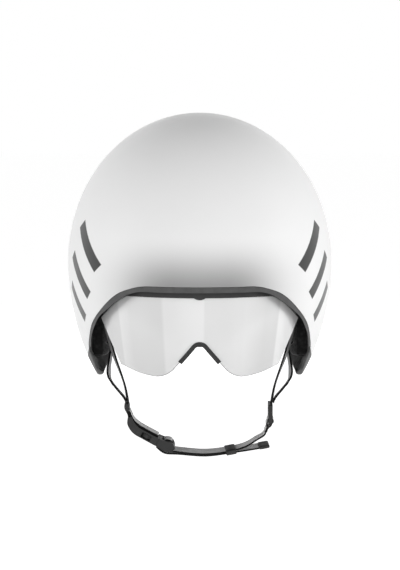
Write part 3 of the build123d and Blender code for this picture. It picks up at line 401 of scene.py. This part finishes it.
# Materials, and the one that each CAD node takes where it isn't plain black plastic
paints = {
    "shell": shell_paint(),
    "foam": foam(),
    "trim": moulded("trim_rubber", level=0.050, rough=0.55, coat=0.05),
    "neck": moulded("neck_rubber", level=0.050, rough=0.56, painted_inner_shade=True),
    "plastic": moulded("black_nylon", level=0.016, rough=0.48),
    "lens": mirror_coat(),
    "rubber": moulded("black_rubber", level=0.011, rough=0.6),
    "magnet": metal("nickel_magnet", level=0.6, rough=0.35),
    "screw": metal("screw_steel", level=0.5, rough=0.35),
    "knit": knit(),
    "webbing": webbing(),
    "buckle": moulded("buckle_nylon", level=0.006, rough=0.48, grain=buckle_grain),
}
node_paints = {
    "outer_shell": "shell",
    "eps_liner": "foam",
    "face_rim": "trim",
    "neck_trim": "neck",
    "visor_lens": "lens",
    "nose_piece": "rubber",
    "dial_knob": "rubber",
    "visor_magnets": "magnet",
    "brow_magnets": "magnet",
    "housing_screws": "screw",
    "buckle_socket": "buckle",
    "buckle_plug": "buckle",
    "prong_rear": "buckle",
    "prong_front": "buckle",
    "strap_adjuster": "buckle",
}
for name, node in nodes_by_name.items():
    node.data.materials.clear()
    node.data.materials.append(paints[node_paints.get(name, "plastic")])


# Steps between two given points of a smooth line before it is evenly spaced
fine_steps = 40


def smooth_line(points, count, first=None, last=None):
    """Evenly spaced points on a smooth line through the given ones."""
    knots = np.array([tuple(p) for p in points], float)
    runs = np.linalg.norm(np.diff(knots, axis=0), axis=1)
    total = len(knots)
    system = np.zeros((total, total))
    right = np.zeros((total, 3))
    for i in range(1, total - 1):
        before, after = runs[i - 1], runs[i]
        system[i, i - 1 : i + 2] = after, 2 * (before + after), before
        step_in, step_out = knots[i] - knots[i - 1], knots[i + 1] - knots[i]
        right[i] = 3 * (after * step_in / before + before * step_out / after)
    for i, other, run, given in ((0, 1, runs[0], first), (total - 1, total - 2, runs[-1], last)):
        if given is None:
            system[i, i], system[i, other] = 2, 1
            right[i] = 3 * (knots[max(i, other)] - knots[min(i, other)]) / run
        else:
            system[i, i] = 1
            right[i] = np.array(tuple(given), float) / np.linalg.norm(given)
    slopes = np.linalg.solve(system, right)
    fine = []
    for i, run in enumerate(runs):
        for t in np.linspace(0, 1, fine_steps, endpoint=False):
            fine.append(
                (1 + 2 * t) * (1 - t) ** 2 * knots[i]
                + t * (1 - t) ** 2 * run * slopes[i]
                + t * t * (3 - 2 * t) * knots[i + 1]
                + t * t * (t - 1) * run * slopes[i + 1]
            )
    fine.append(knots[-1])
    fine = np.array(fine)
    walked = np.concatenate(([0], np.cumsum(np.linalg.norm(np.diff(fine, axis=0), axis=1))))
    stops = np.linspace(0, walked[-1], count)
    return np.stack([np.interp(stops, walked, fine[:, axis]) for axis in range(3)], axis=1), walked[-1]


def new_mesh(name, verts, faces):
    mesh = bpy.data.meshes.new(name)
    mesh.from_pydata([tuple(v) for v in verts], [], faces)
    return mesh


def add_piece(name, mesh, paint):
    """Smooth piece of the scene with its material."""
    mesh.shade_smooth()
    mesh.materials.append(paints[paint])
    piece = bpy.data.objects.new(name, mesh)
    bpy.context.scene.collection.objects.link(piece)
    return piece


# Cross section of the webbing: shares of its half width and half thickness
band_profile = (
    (-1.0, 0.0),
    (-0.99, 0.75),
    (-0.93, 1.08),
    (-0.84, 1.0),
    (-0.4, 0.92),
    (0.0, 0.9),
    (0.4, 0.92),
    (0.84, 1.0),
    (0.93, 1.08),
    (0.99, 0.75),
    (1.0, 0.0),
    (0.99, -0.75),
    (0.93, -1.08),
    (0.84, -1.0),
    (0.4, -0.92),
    (0.0, -0.9),
    (-0.4, -0.92),
    (-0.84, -1.0),
    (-0.93, -1.08),
    (-0.99, -0.75),
)


def band(name, points, leans, count, thickness=strap_thickness, first=None, last=None):
    """Webbing along a smooth line; leans give its width direction from start to end."""
    line, length = smooth_line(points, count, first, last)
    ahead = np.gradient(line, axis=0)
    verts, faces, maps = [], [], []
    size = len(band_profile)
    for i, (spot, way) in enumerate(zip(line, ahead)):
        way = Vector(way).normalized()
        spread = i / (count - 1) * (len(leans) - 1)
        at = min(int(spread), len(leans) - 2)
        side = Vector(leans[at]).lerp(Vector(leans[at + 1]), spread - at)
        side = (side - way * side.dot(way)).normalized()
        out = way.cross(side)
        for across, up in band_profile:
            verts.append(Vector(spot) + side * across * strap_width / 2 + out * up * thickness / 2)
    for i in range(count - 1):
        for j in range(size):
            k = (j + 1) % size
            faces.append((i * size + j, (i + 1) * size + j, (i + 1) * size + k, i * size + k))
            near, far = (band_profile[j][0] + 1) / 2, (band_profile[k][0] + 1) / 2
            start, end = length * i / (count - 1), length * (i + 1) / (count - 1)
            maps.append(((near, start), (near, end), (far, end), (far, start)))
    for i, turn in ((0, 1), (count - 1, -1)):
        ring = [i * size + j for j in range(size)][::turn]
        faces.append(tuple(ring))
        maps.append([((band_profile[j % size][0] + 1) / 2, 0) for j in ring])
    mesh = new_mesh(name, verts, faces)
    layer = mesh.uv_layers.new(name="band")
    flat = [spot for face in maps for spot in face]
    for loop, spot in zip(layer.data, flat):
        loop.uv = spot
    return add_piece(name, mesh, "webbing")


def flipped(points):
    """The same places on the wearer's other side."""
    return [(-p[0], p[1], p[2]) for p in points]


def wall_place(depth):
    """Half width of the cavity at a depth."""
    return cavity_half_width * math.sqrt(1 - (depth / cavity_half_length) ** 2)


def on_wall(depth, height, up, forward):
    """Point on a strap's middle, off the wall beside an anchor on the wearer's left."""
    x = wall_place(depth)
    outward = Vector((x / cavity_half_width**2, depth / cavity_half_length**2, 0)).normalized()
    ahead = outward.cross(Vector((0, 0, 1)))
    return Vector((x, depth, height)) + Vector((0, 0, up)) + ahead * forward - outward * strap_lift, outward


def riveted(depth, height, up, forward):
    """Start of a strap on the wall and its width direction there."""
    steps = [on_wall(depth, height, -up * share, -forward * share)[0] for share in (1, 0, -1)]
    outward = on_wall(depth, height, 0, 0)[1]
    lean = tuple(outward.cross(steps[2] - steps[0]).normalized())
    return [tuple(step) for step in steps], [lean, lean]


def both_sides(name, points, leans, count, last=None):
    """The strap on both sides, each in place of its own node."""
    for side, turned in (("left", list), ("right", flipped)):
        end = None if last is None else turned([last])[0]
        piece = band(name + "_band_" + side, turned(points), turned(leans), count, last=end)
        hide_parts(name + "_" + side)
        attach(piece, "helmet")


# Straps from the anchors, with the number of places along each
front_stations = 70
rear_stations = 80
front_anchor = (-0.032, 0.040)
front_route = [(0.0756, -0.0355, 0.014), (0.0688, -0.040, -0.008), (0.062, -0.0432, -0.027)]
front_leans = [(0.24, 0.97, 0), (0.18, 0.98, 0), (0.1, 1, 0), (0.1, 1, 0)]
join_place = (0.0594, -0.044, -0.044)
join_height = 0.005
rear_anchor = (0.052, 0.008)
rear_route = [(0.0763, 0.022, -0.0125), (0.0762, -0.006, -0.0225), (0.0664, -0.0398, -0.0328)]
rear_leans = [(0.03, 0.5, -0.85), (-0.12, 0.55, -0.8), (-0.2, 0.85, -0.4), (0.1, 1, 0)]
rear_end = (0.0610, -0.044, -0.0412)
rear_heading = (-0.17, -0.2, -0.96)


def hang_straps():
    """Front and rear straps, from their rivets to the join."""
    steps, lean = riveted(*front_anchor, -strap_end, 0)
    end = (join_place[0], join_place[1], join_place[2] + join_height / 2 + 2 * wall_gap)
    both_sides("front_strap", steps + front_route + [end], lean + front_leans, front_stations)
    rivet = on_wall(*rear_anchor, 0, 0)[0]
    heading = (Vector(rear_route[0]) - rivet).normalized() * strap_end
    steps, lean = riveted(*rear_anchor, heading.z, -heading.y)
    route = steps + rear_route + [rear_end]
    both_sides("rear_strap", route, lean + rear_leans, rear_stations, last=rear_heading)


# Buckle, and the bands at it by their places along it and out of it
buckle_place = Vector((-0.0353, -0.044, -0.0726))
buckle_slope = math.radians(29)
buckle_along = Vector((math.cos(buckle_slope), 0, -math.sin(buckle_slope)))
buckle_out = Vector((math.sin(buckle_slope), 0, math.cos(buckle_slope)))
outer_strand_route = ((-0.0310, 0.0077), (-0.0291, 0.0038))
inner_strand_route = ((-0.0262, 0.0064), (-0.0205, 0.0047), (-0.0130, 0.0043), (-0.0012, 0.0044))
web_turn_route = (
    (0.0116, -0.0030),
    (0.0116, 0.0030),
    (0.0104, 0.0059),
    (0.0082, 0.0057),
    (0.0062, 0.0049),
    (0.0048, 0.0026),
    (0.0046, -0.0030),
)
upright = [(0, 1, 0), (0, 1, 0)]
outer_stations = 24
inner_stations = 40
inner_heading = (0.45, 0, -0.9)
turn_stations = 30
turn_thickness = 0.0010


def at_buckle(along, out):
    """Point by its places along the buckle and out of it."""
    return tuple(buckle_place + buckle_along * along + buckle_out * out)


def hang_strands():
    """The two bands between the join and the buckle's curled back."""
    low = join_place[2] - join_height / 2 - wall_gap
    start = (-join_place[0] - strap_thickness / 2 - wall_gap, join_place[1], low)
    points = [start] + [at_buckle(*spot) for spot in outer_strand_route]
    outer = band("outer_strand_band", points, upright, outer_stations)
    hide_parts("outer_strand")
    start = (-join_place[0] + strap_thickness / 2 + wall_gap, join_place[1], low - wall_gap)
    points = [start] + [at_buckle(*spot) for spot in inner_strand_route]
    inner = band(
        "inner_strand_band", points, upright, inner_stations, first=inner_heading, last=tuple(buckle_along)
    )
    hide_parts("inner_strand")
    for piece in (outer, inner):
        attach(piece, "helmet")


def hang_turn():
    """The chin webbing's turn over the bar between the plug's two slots."""
    points = [at_buckle(*spot) for spot in web_turn_route]
    turn = band("web_turn_band", points, upright, turn_stations, thickness=turn_thickness)
    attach(turn, "buckle_plug")


# Rings of the moulded pieces: places round each, and how square it is
ring_sides = 48
ring_power = 0.4


def squared(value):
    """A sine or cosine pulled outwards, for an oblong with round corners."""
    return math.copysign(abs(value) ** ring_power, value)


def lofted(name, centre, directions, rings, paint, hollow=False):
    """Body through rounded oblong rings: each has its place and its half width and half height."""
    along, wide, high = directions
    verts, faces = [], []
    for place, half_wide, half_high in rings:
        for j in range(ring_sides):
            angle = 2 * math.pi * j / ring_sides
            across, up = half_wide * squared(math.cos(angle)), half_high * squared(math.sin(angle))
            verts.append(centre + along * place + wide * across + high * up)
    total = len(rings)
    for i in range(total if hollow else total - 1):
        low, top = i * ring_sides, (i + 1) % total * ring_sides
        for j in range(ring_sides):
            k = (j + 1) % ring_sides
            faces.append((low + j, low + k, top + k, top + j))
    if not hollow:
        faces.append(tuple(range(ring_sides))[::-1])
        faces.append(tuple((total - 1) * ring_sides + j for j in range(ring_sides)))
    mesh = new_mesh(name, verts, faces)
    shape = bmesh.new()
    shape.from_mesh(mesh)
    bmesh.ops.recalc_face_normals(shape, faces=shape.faces)
    shape.to_mesh(mesh)
    shape.free()
    return add_piece(name, mesh, paint)


def strap_directions(ahead, lean):
    """Directions along a strap, across it and out of its face."""
    along = Vector(ahead).normalized()
    wide = (Vector(lean) - along * along.dot(Vector(lean))).normalized()
    return along, wide, along.cross(wide)


# Soft keeper where the straps meet above the buckle
wrap_height = 0.0064
wrap_half_width = 0.0079
wrap_least = 0.0013
wrap_swell = 0.0010
wrap_swell_power = 0.6
wrap_rings = 12
wrap_ahead = (0.08, 0, -1)


def wrap_join():
    """Elastic keeper round the straps, thicker in its middle."""
    centre = Vector((-join_place[0] - strap_thickness / 2, join_place[1], join_place[2]))
    rings = []
    for i in range(wrap_rings + 1):
        share = i / wrap_rings
        half = wrap_least + wrap_swell * math.sin(math.pi * share) ** wrap_swell_power
        rings.append((wrap_height * (share - 0.5), wrap_half_width, half))
    directions = strap_directions(wrap_ahead, upright[0])
    piece = lofted("join_wrap", centre, directions, rings, "rubber")
    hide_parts("strap_join")
    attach(piece, "helmet")


# Chin strap and its spare end
chin_route = [
    (-0.0221, -0.0462, -0.0800),
    (-0.0080, -0.0488, -0.0811),
    (0.0050, -0.050, -0.0815),
    (0.0218, -0.050, -0.0796),
    (0.0296, -0.0494, -0.0781),
    (0.0396, -0.0482, -0.0749),
    (0.0481, -0.0464, -0.0700),
    (0.0544, -0.044, -0.0651),
]
loose_route = [
    (-0.0352, -0.0445, -0.0770),
    (-0.0292, -0.0452, -0.0813),
    (-0.0220, -0.0464, -0.0819),
    (-0.0080, -0.0488, -0.0824),
    (0.0050, -0.050, -0.0828),
    (0.0218, -0.050, -0.0809),
    (0.0296, -0.0494, -0.0798),
    (0.0396, -0.0488, -0.0784),
    (0.0494, -0.0482, -0.0768),
]
chin_leans = [(0, 1, 0.08), (0, 1, 0.08), (0, 1, 0)]
chin_thickness = 0.0012
chin_stations = 90
chin_start = (1, 0, -0.12)
loop_stem = (0.38, 0, 0.925)


def hang_chin():
    """Chin strap and loose end, between the helmet and the plug."""
    chin = band(
        "chin_strap_band", chin_route, chin_leans, chin_stations,
        thickness=chin_thickness, first=chin_start, last=loop_stem,
    )
    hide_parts("chin_strap")
    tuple(chin_route[0])
    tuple(chin_route[-1])
    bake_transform(chin)
    loose = band("loose_end_band", loose_route, chin_leans[:2], chin_stations, thickness=chin_thickness)
    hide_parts("loose_end")
    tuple(loose_route[0])
    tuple(loose_route[-1])
    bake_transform(loose)


# Sliding keeper and the folded tab on the spare end
keeper_ahead = (0.984, 0.076, 0.177)
keeper_length = 0.0085
keeper_half_width = 0.0083
keeper_half_room = 0.00145
keeper_wall = 0.0010
tab_ahead = (0.98, 0.06, 0.17)
tab_half_length = 0.0045
tab_half_width = 0.0081
tab_half_thickness = 0.0014
tab_overlap = 0.001
tab_corner = 0.0008
tab_least_share = 0.35
tab_power = 6
tab_rings = 16


def at_keeper(before, after):
    """Point of a strap, between two of its own, at the middle of the keeper."""
    low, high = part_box("strap_keeper")
    near, far = Vector(before), Vector(after)
    return near.lerp(far, ((low[0] + high[0]) / 2 - near.x) / (far.x - near.x))


def slide_keeper():
    """Rubber loop round the chin strap and its spare end."""
    spot = (at_keeper(*chin_route[3:5]) + at_keeper(*loose_route[4:6])) / 2
    half, bend = keeper_length / 2, keeper_wall / 2
    outer_width, outer_room = keeper_half_width + keeper_wall, keeper_half_room + keeper_wall
    rings = [
        (-half, keeper_half_width + bend, keeper_half_room + bend),
        (bend - half, outer_width, outer_room),
        (half - bend, outer_width, outer_room),
        (half, keeper_half_width + bend, keeper_half_room + bend),
        (half - bend, keeper_half_width, keeper_half_room),
        (bend - half, keeper_half_width, keeper_half_room),
    ]
    directions = strap_directions(keeper_ahead, chin_leans[0])
    piece = lofted("keeper_loop", spot, directions, rings, "rubber", hollow=True)
    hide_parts("strap_keeper")
    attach(piece, "keeper")


def sew_tab():
    """Folded rubber tab on the end of the spare webbing."""
    centre = Vector(loose_route[-1]) + Vector(tab_ahead).normalized() * (tab_half_length - tab_overlap)
    rings = []
    for i in range(tab_rings + 1):
        share = math.cos(math.pi * i / tab_rings)
        round_off = math.sqrt(1 - abs(share) ** tab_power)
        half_width = tab_half_width - tab_corner * (1 - round_off)
        half_thickness = tab_half_thickness * (tab_least_share + (1 - tab_least_share) * round_off)
        rings.append((-tab_half_length * share, half_width, half_thickness))
    directions = strap_directions(tab_ahead, chin_leans[0])
    piece = lofted("end_tab", centre, directions, rings, "rubber")
    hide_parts("end_cap")
    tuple(loose_route[0])
    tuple(loose_route[-1])
    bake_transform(piece)


# Adjuster and sewn loop
adjuster_place = (0.0584, -0.044, -0.0492)
adjuster_height = 0.0156
adjuster_bar = 0.003
loop_end = (0.0546, -0.044, -0.0646)

# The loop's two legs by their places below the bar and off their middle, and its turns round the bar
loop_off = 0.0008
loop_end_off = 0.0006
loop_legs = ((0.0056, 0.0007), (0.0028, 0.0019))
loop_turns = (-40, 0, 45, 90, 135, 180, 220)
loop_thickness = 0.0011
loop_stations = 60


def hang_loop():
    """Sewn loop round the adjuster's round bar, two bands thick below it."""
    x, y, z = adjuster_place
    centre = Vector((x, y, z - adjuster_height / 2 + adjuster_bar / 2))
    reach = adjuster_bar / 2 + loop_off
    stem = (Vector(loop_end) - centre).normalized()
    side = Vector((stem.z, 0, -stem.x))
    legs = [(Vector(loop_end), loop_end_off)]
    legs += [(centre + stem * below, off) for below, off in loop_legs]
    points = [spot + side * off for spot, off in legs]
    for angle in map(math.radians, loop_turns):
        points.append(centre + side * math.cos(angle) * reach - stem * math.sin(angle) * reach)
    points += [spot - side * off for spot, off in reversed(legs)]
    piece = band("chin_loop_band", points, upright, loop_stations, thickness=loop_thickness)
    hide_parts("chin_loop")
    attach(piece, "helmet")


# Cushions: rows and columns of faces, and what the rim, base, crown and sewn channels take of their size
cushion_rows = 64
cushion_columns = 24
rim_share = 0.12
base_share = 0.97
crown_power = 3.2
channel_share = 0.45
channel_half = 0.0022
weld_reach = 0.00002


def cushion_height(share, over, along, channels):
    """Share of a cushion's thickness at a place: crowned, lower at the rim and in the sewn channels."""
    reach = math.sqrt(min(1.0, share * share * (1 - over**2) + over**2)) if over else abs(share)
    crown = math.sqrt(1 - reach**crown_power) if reach < 1 else 0.0
    dip = sum(math.exp(-(((along - channel) / channel_half) ** 2)) for channel in channels)
    return rim_share + (1 - rim_share) * crown * (1 - channel_share * dip)


def cushion(name, node, place, size, channels=()):
    """Crowned cushion with sewn channels; place turns along, across and height into a point."""
    length, width, thickness = size
    rows, columns = cushion_rows, cushion_columns
    straight = (length - width) / 2
    verts, faces = [], []
    for layer in (0, 1):
        for i in range(rows + 1):
            along = -length / 2 * math.cos(math.pi * i / rows)
            over = max(0.0, abs(along) - straight) / (width / 2)
            half = width / 2 * math.sqrt(max(0.0, 1 - over * over))
            for j in range(columns + 1):
                share = math.sin(math.pi * (j / columns - 0.5))
                if layer:
                    height = thickness * cushion_height(share, over, along, channels)
                    verts.append(place(along, half * share, height))
                else:
                    verts.append(place(along, half * share * base_share, 0.0))
    layer_size = (rows + 1) * (columns + 1)
    step = columns + 1
    for i in range(rows):
        for j in range(columns):
            a = i * step + j
            faces.append((a, a + step, a + step + 1, a + 1))
            b = a + layer_size
            faces.append((b, b + 1, b + step + 1, b + step))
    edge = list(range(step)) + [i * step + columns for i in range(1, rows + 1)]
    edge += [rows * step + j for j in range(columns - 1, -1, -1)]
    edge += [i * step for i in range(rows - 1, 0, -1)]
    for a, b in zip(edge, edge[1:] + edge[:1]):
        faces.append((a, b, b + layer_size, a + layer_size))
    mesh = new_mesh(name, verts, faces)
    mesh.validate()
    piece = add_piece(name, mesh, "knit")
    weld = piece.modifiers.new("weld", "WELD")
    weld.merge_threshold = weld_reach
    if node:
        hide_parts(node)
    return piece


def in_cavity(x=None, y=None, z=None, sign=1):
    """Point on the cavity wall where two of its coordinates are known, and the way out there."""
    wide, deep, tall = cavity_half_width - wall_gap, cavity_half_length - wall_gap, cavity_rise - wall_gap
    if z is None:
        z = cavity_spring + tall * math.sqrt(1 - (x / wide) ** 2 - (y / deep) ** 2)
    rise = max(0.0, z - cavity_spring) / tall
    if x is None:
        x = sign * wide * math.sqrt(1 - (y / deep) ** 2 - rise**2)
    if y is None:
        y = sign * deep * math.sqrt(1 - (x / wide) ** 2 - rise**2)
    outward = Vector((x / wide**2, y / deep**2, rise / tall)).normalized()
    return Vector((x, y, z)), outward


# Cushions' length, width and thickness, the places of their sewn channels, and where they lie
brow_size = (0.1, 0.016, 0.006)
brow_channels = (-0.025, 0, 0.025)
brow_height = 0.076
crown_rows = (
    ("", 0, (0.096, 0.02, 0.006)),
    ("_left", 0.034, (0.08, 0.016, 0.006)),
    ("_right", -0.034, (0.08, 0.016, 0.006)),
)
crown_channels = (-0.02, 0.02)
crown_depth = 0.004
side_size = (0.054, 0.018, 0.006)
side_channels = (-0.012, 0.012)
side_depth = -0.028
side_height = 0.064
ear_size = (0.035, 0.012, 0.007)
ear_channels = (-0.006, 0.006)
ear_depth = -0.0175
ear_height = 0.0115
nape_size = (0.0182, 0.018, 0.0034)
nape_middle = 0.0165
nape_depth = 0.0801
nape_height = -0.002


def brow_cushion():
    def place(along, across, height):
        spot, out = in_cavity(x=along, z=brow_height + across, sign=-1)
        return spot - out * height

    return cushion("brow_cushion", "brow_pad", place, brow_size, brow_channels)


def crown_cushion(suffix, middle, size):
    def place(along, across, height):
        spot, out = in_cavity(x=middle + across, y=crown_depth + along)
        return spot - out * height

    return cushion("crown_cushion" + suffix, "crown_pad" + suffix, place, size, crown_channels)


def side_cushion(suffix, sign):
    def place(along, across, height):
        spot, out = in_cavity(y=side_depth + along, z=side_height + across, sign=sign)
        return spot - out * height

    return cushion("side_cushion" + suffix, "side_pad" + suffix, place, side_size, side_channels)


def ear_cushion(suffix, sign):
    def place(along, across, height):
        spot, out = in_cavity(y=ear_depth + across, z=ear_height + along, sign=sign)
        return spot - out * height

    return cushion("ear_cushion" + suffix, "ear_pad" + suffix, place, ear_size, ear_channels)


def nape_cushion(suffix, middle):
    def place(along, across, height):
        return Vector((middle + along, nape_depth - height, nape_height + across))

    return cushion("nape_cushion" + suffix, None, place, nape_size)


def lay_cushions():
    """All cushions; the two on the nape share one node and ride the cradle."""
    riders = [brow_cushion()]
    riders += [crown_cushion(*row) for row in crown_rows]
    for suffix, sign in (("_left", 1), ("_right", -1)):
        riders += [side_cushion(suffix, sign), ear_cushion(suffix, sign)]
    for piece in riders:
        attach(piece, "helmet")
    napes = [nape_cushion("_left", nape_middle), nape_cushion("_right", -nape_middle)]
    for piece in napes:
        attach(piece, "cradle")
    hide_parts("nape_pads")


# Arms between the cradle and the racks: their sides, the signs of these, and their heights where they meet
# their racks
arm_sides = (("left", 1, 0.00465), ("right", -1, -0.00865))


def bend_arms():
    """Arms between the cradle and the racks, copied from their nodes."""
    for side, sign, height in arm_sides:
        node = nodes_by_name["cradle_arm_" + side]
        arm = bpy.data.objects.new("flex_arm_" + side, node.data.copy())
        bpy.context.scene.collection.objects.link(arm)
        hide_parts("cradle_arm_" + side)
        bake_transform(arm)


hang_straps()
hang_strands()
hang_turn()
wrap_join()
hang_chin()
slide_keeper()
sew_tab()
hang_loop()
lay_cushions()
bend_arms()


# Studio floor
floor_height = -0.35
floor_size = 12
floor_cloud = (3, 2)
floor_greys = (0.5, 0.52)
floor_glow = 0.86

# Light tent: how bright it is in its middle, at its sides and on top, and where these start
tent_near = 0.15
tent_far = 0.95
tent_middle = 0.58
tent_side = 1.85
tent_top = 0.02
tent_low = 0.0
tent_high = 0.65

# Lamps: place, power and size
lamp_target = (0, 0, 0.05)
lamps = (
    ("left_box", (-2.0, -0.8, 0.35), 18, 1.4),
    ("right_box", (2.0, -0.8, 0.35), 25, 1.4),
    ("front_box", (0.0, -2.5, 0.3), 20.5, 1.2),
    ("back_box", (0.0, 2.5, 0.25), 14, 1.4),
)


def world_light():
    """Soft tent: white where it is seen or mirrored, bright at its sides as a light."""
    world = bpy.data.worlds.new("studio")
    bpy.context.scene.world = world
    graph = Graph(world)
    graph.nodes["Background"].inputs["Color"].default_value = (1, 1, 1, 1)
    axes = graph.axes(graph.node("ShaderNodeTexCoord").outputs["Generated"])
    aside = graph.math("ABSOLUTE", axes["X"])
    tent = graph.range(aside, tent_near, tent_far, tent_middle, tent_side)
    tent = graph.math("MULTIPLY", tent, graph.range(axes["Z"], tent_low, tent_high, 1.0, tent_top))
    path = graph.node("ShaderNodeLightPath").outputs
    seen = graph.math("MAXIMUM", path["Is Camera Ray"], path["Is Glossy Ray"])
    seen = graph.math("MAXIMUM", seen, path["Is Transmission Ray"])
    level = graph.node("ShaderNodeMix", {0: seen, 2: tent, 3: 1.0}).outputs[0]
    graph.links.new(level, graph.nodes["Background"].inputs["Strength"])


def lay_floor():
    """Pale floor that looks white in the picture and keeps the helmet's shadow."""
    half = floor_size / 2
    corners = [(-half, -half), (half, -half), (half, half), (-half, half)]
    mesh = new_mesh("floor", [(x, y, floor_height) for x, y in corners], [(0, 1, 2, 3)])
    floor = bpy.data.objects.new("floor", mesh)
    bpy.context.scene.collection.objects.link(floor)
    paper = Recipe("studio_paper", roughness=0.9, specular_ior_level=0.1)
    paper.colour(paper.greys(paper.noise(*floor_cloud), *floor_greys))
    path = paper.node("ShaderNodeLightPath").outputs
    seen = paper.math("MAXIMUM", path["Is Camera Ray"], path["Is Glossy Ray"])
    glow = paper.math("MULTIPLY", seen, floor_glow)
    paper.shader.inputs["Emission Color"].default_value = (1, 1, 1, 1)
    paper.links.new(glow, paper.shader.inputs["Emission Strength"])
    mesh.materials.append(paper.material)


def hang_lamps():
    """Square soft lamps that all face the helmet."""
    for name, place, power, size in lamps:
        data = bpy.data.lights.new(name, "AREA")
        data.energy, data.size = power, size
        lamp = bpy.data.objects.new(name, data)
        lamp.location = place
        lamp.visible_glossy = False
        lamp.rotation_euler = (Vector(lamp_target) - Vector(place)).to_track_quat("-Z", "Y").to_euler()
        bpy.context.scene.collection.objects.link(lamp)


def set_camera():
    """Camera that looks down on the helmet's face, as the photograph does."""
    data = bpy.data.cameras.new("photo_camera")
    data.sensor_fit = "VERTICAL"
    data.sensor_height = sensor_height
    data.lens = camera_lens
    data.shift_x = camera_shift
    camera = bpy.data.objects.new("photo_camera", data)
    tilt = math.radians(camera_elevation)
    target = Vector(camera_target)
    camera.location = target + Vector((0, -math.cos(tilt), math.sin(tilt))) * camera_distance
    camera.rotation_euler = (target - camera.location).to_track_quat("-Z", "Y").to_euler()
    bpy.context.scene.collection.objects.link(camera)
    bpy.context.scene.camera = camera


bpy.context.scene.view_settings.view_transform = "Standard"
world_light()
lay_floor()
hang_lamps()
set_camera()
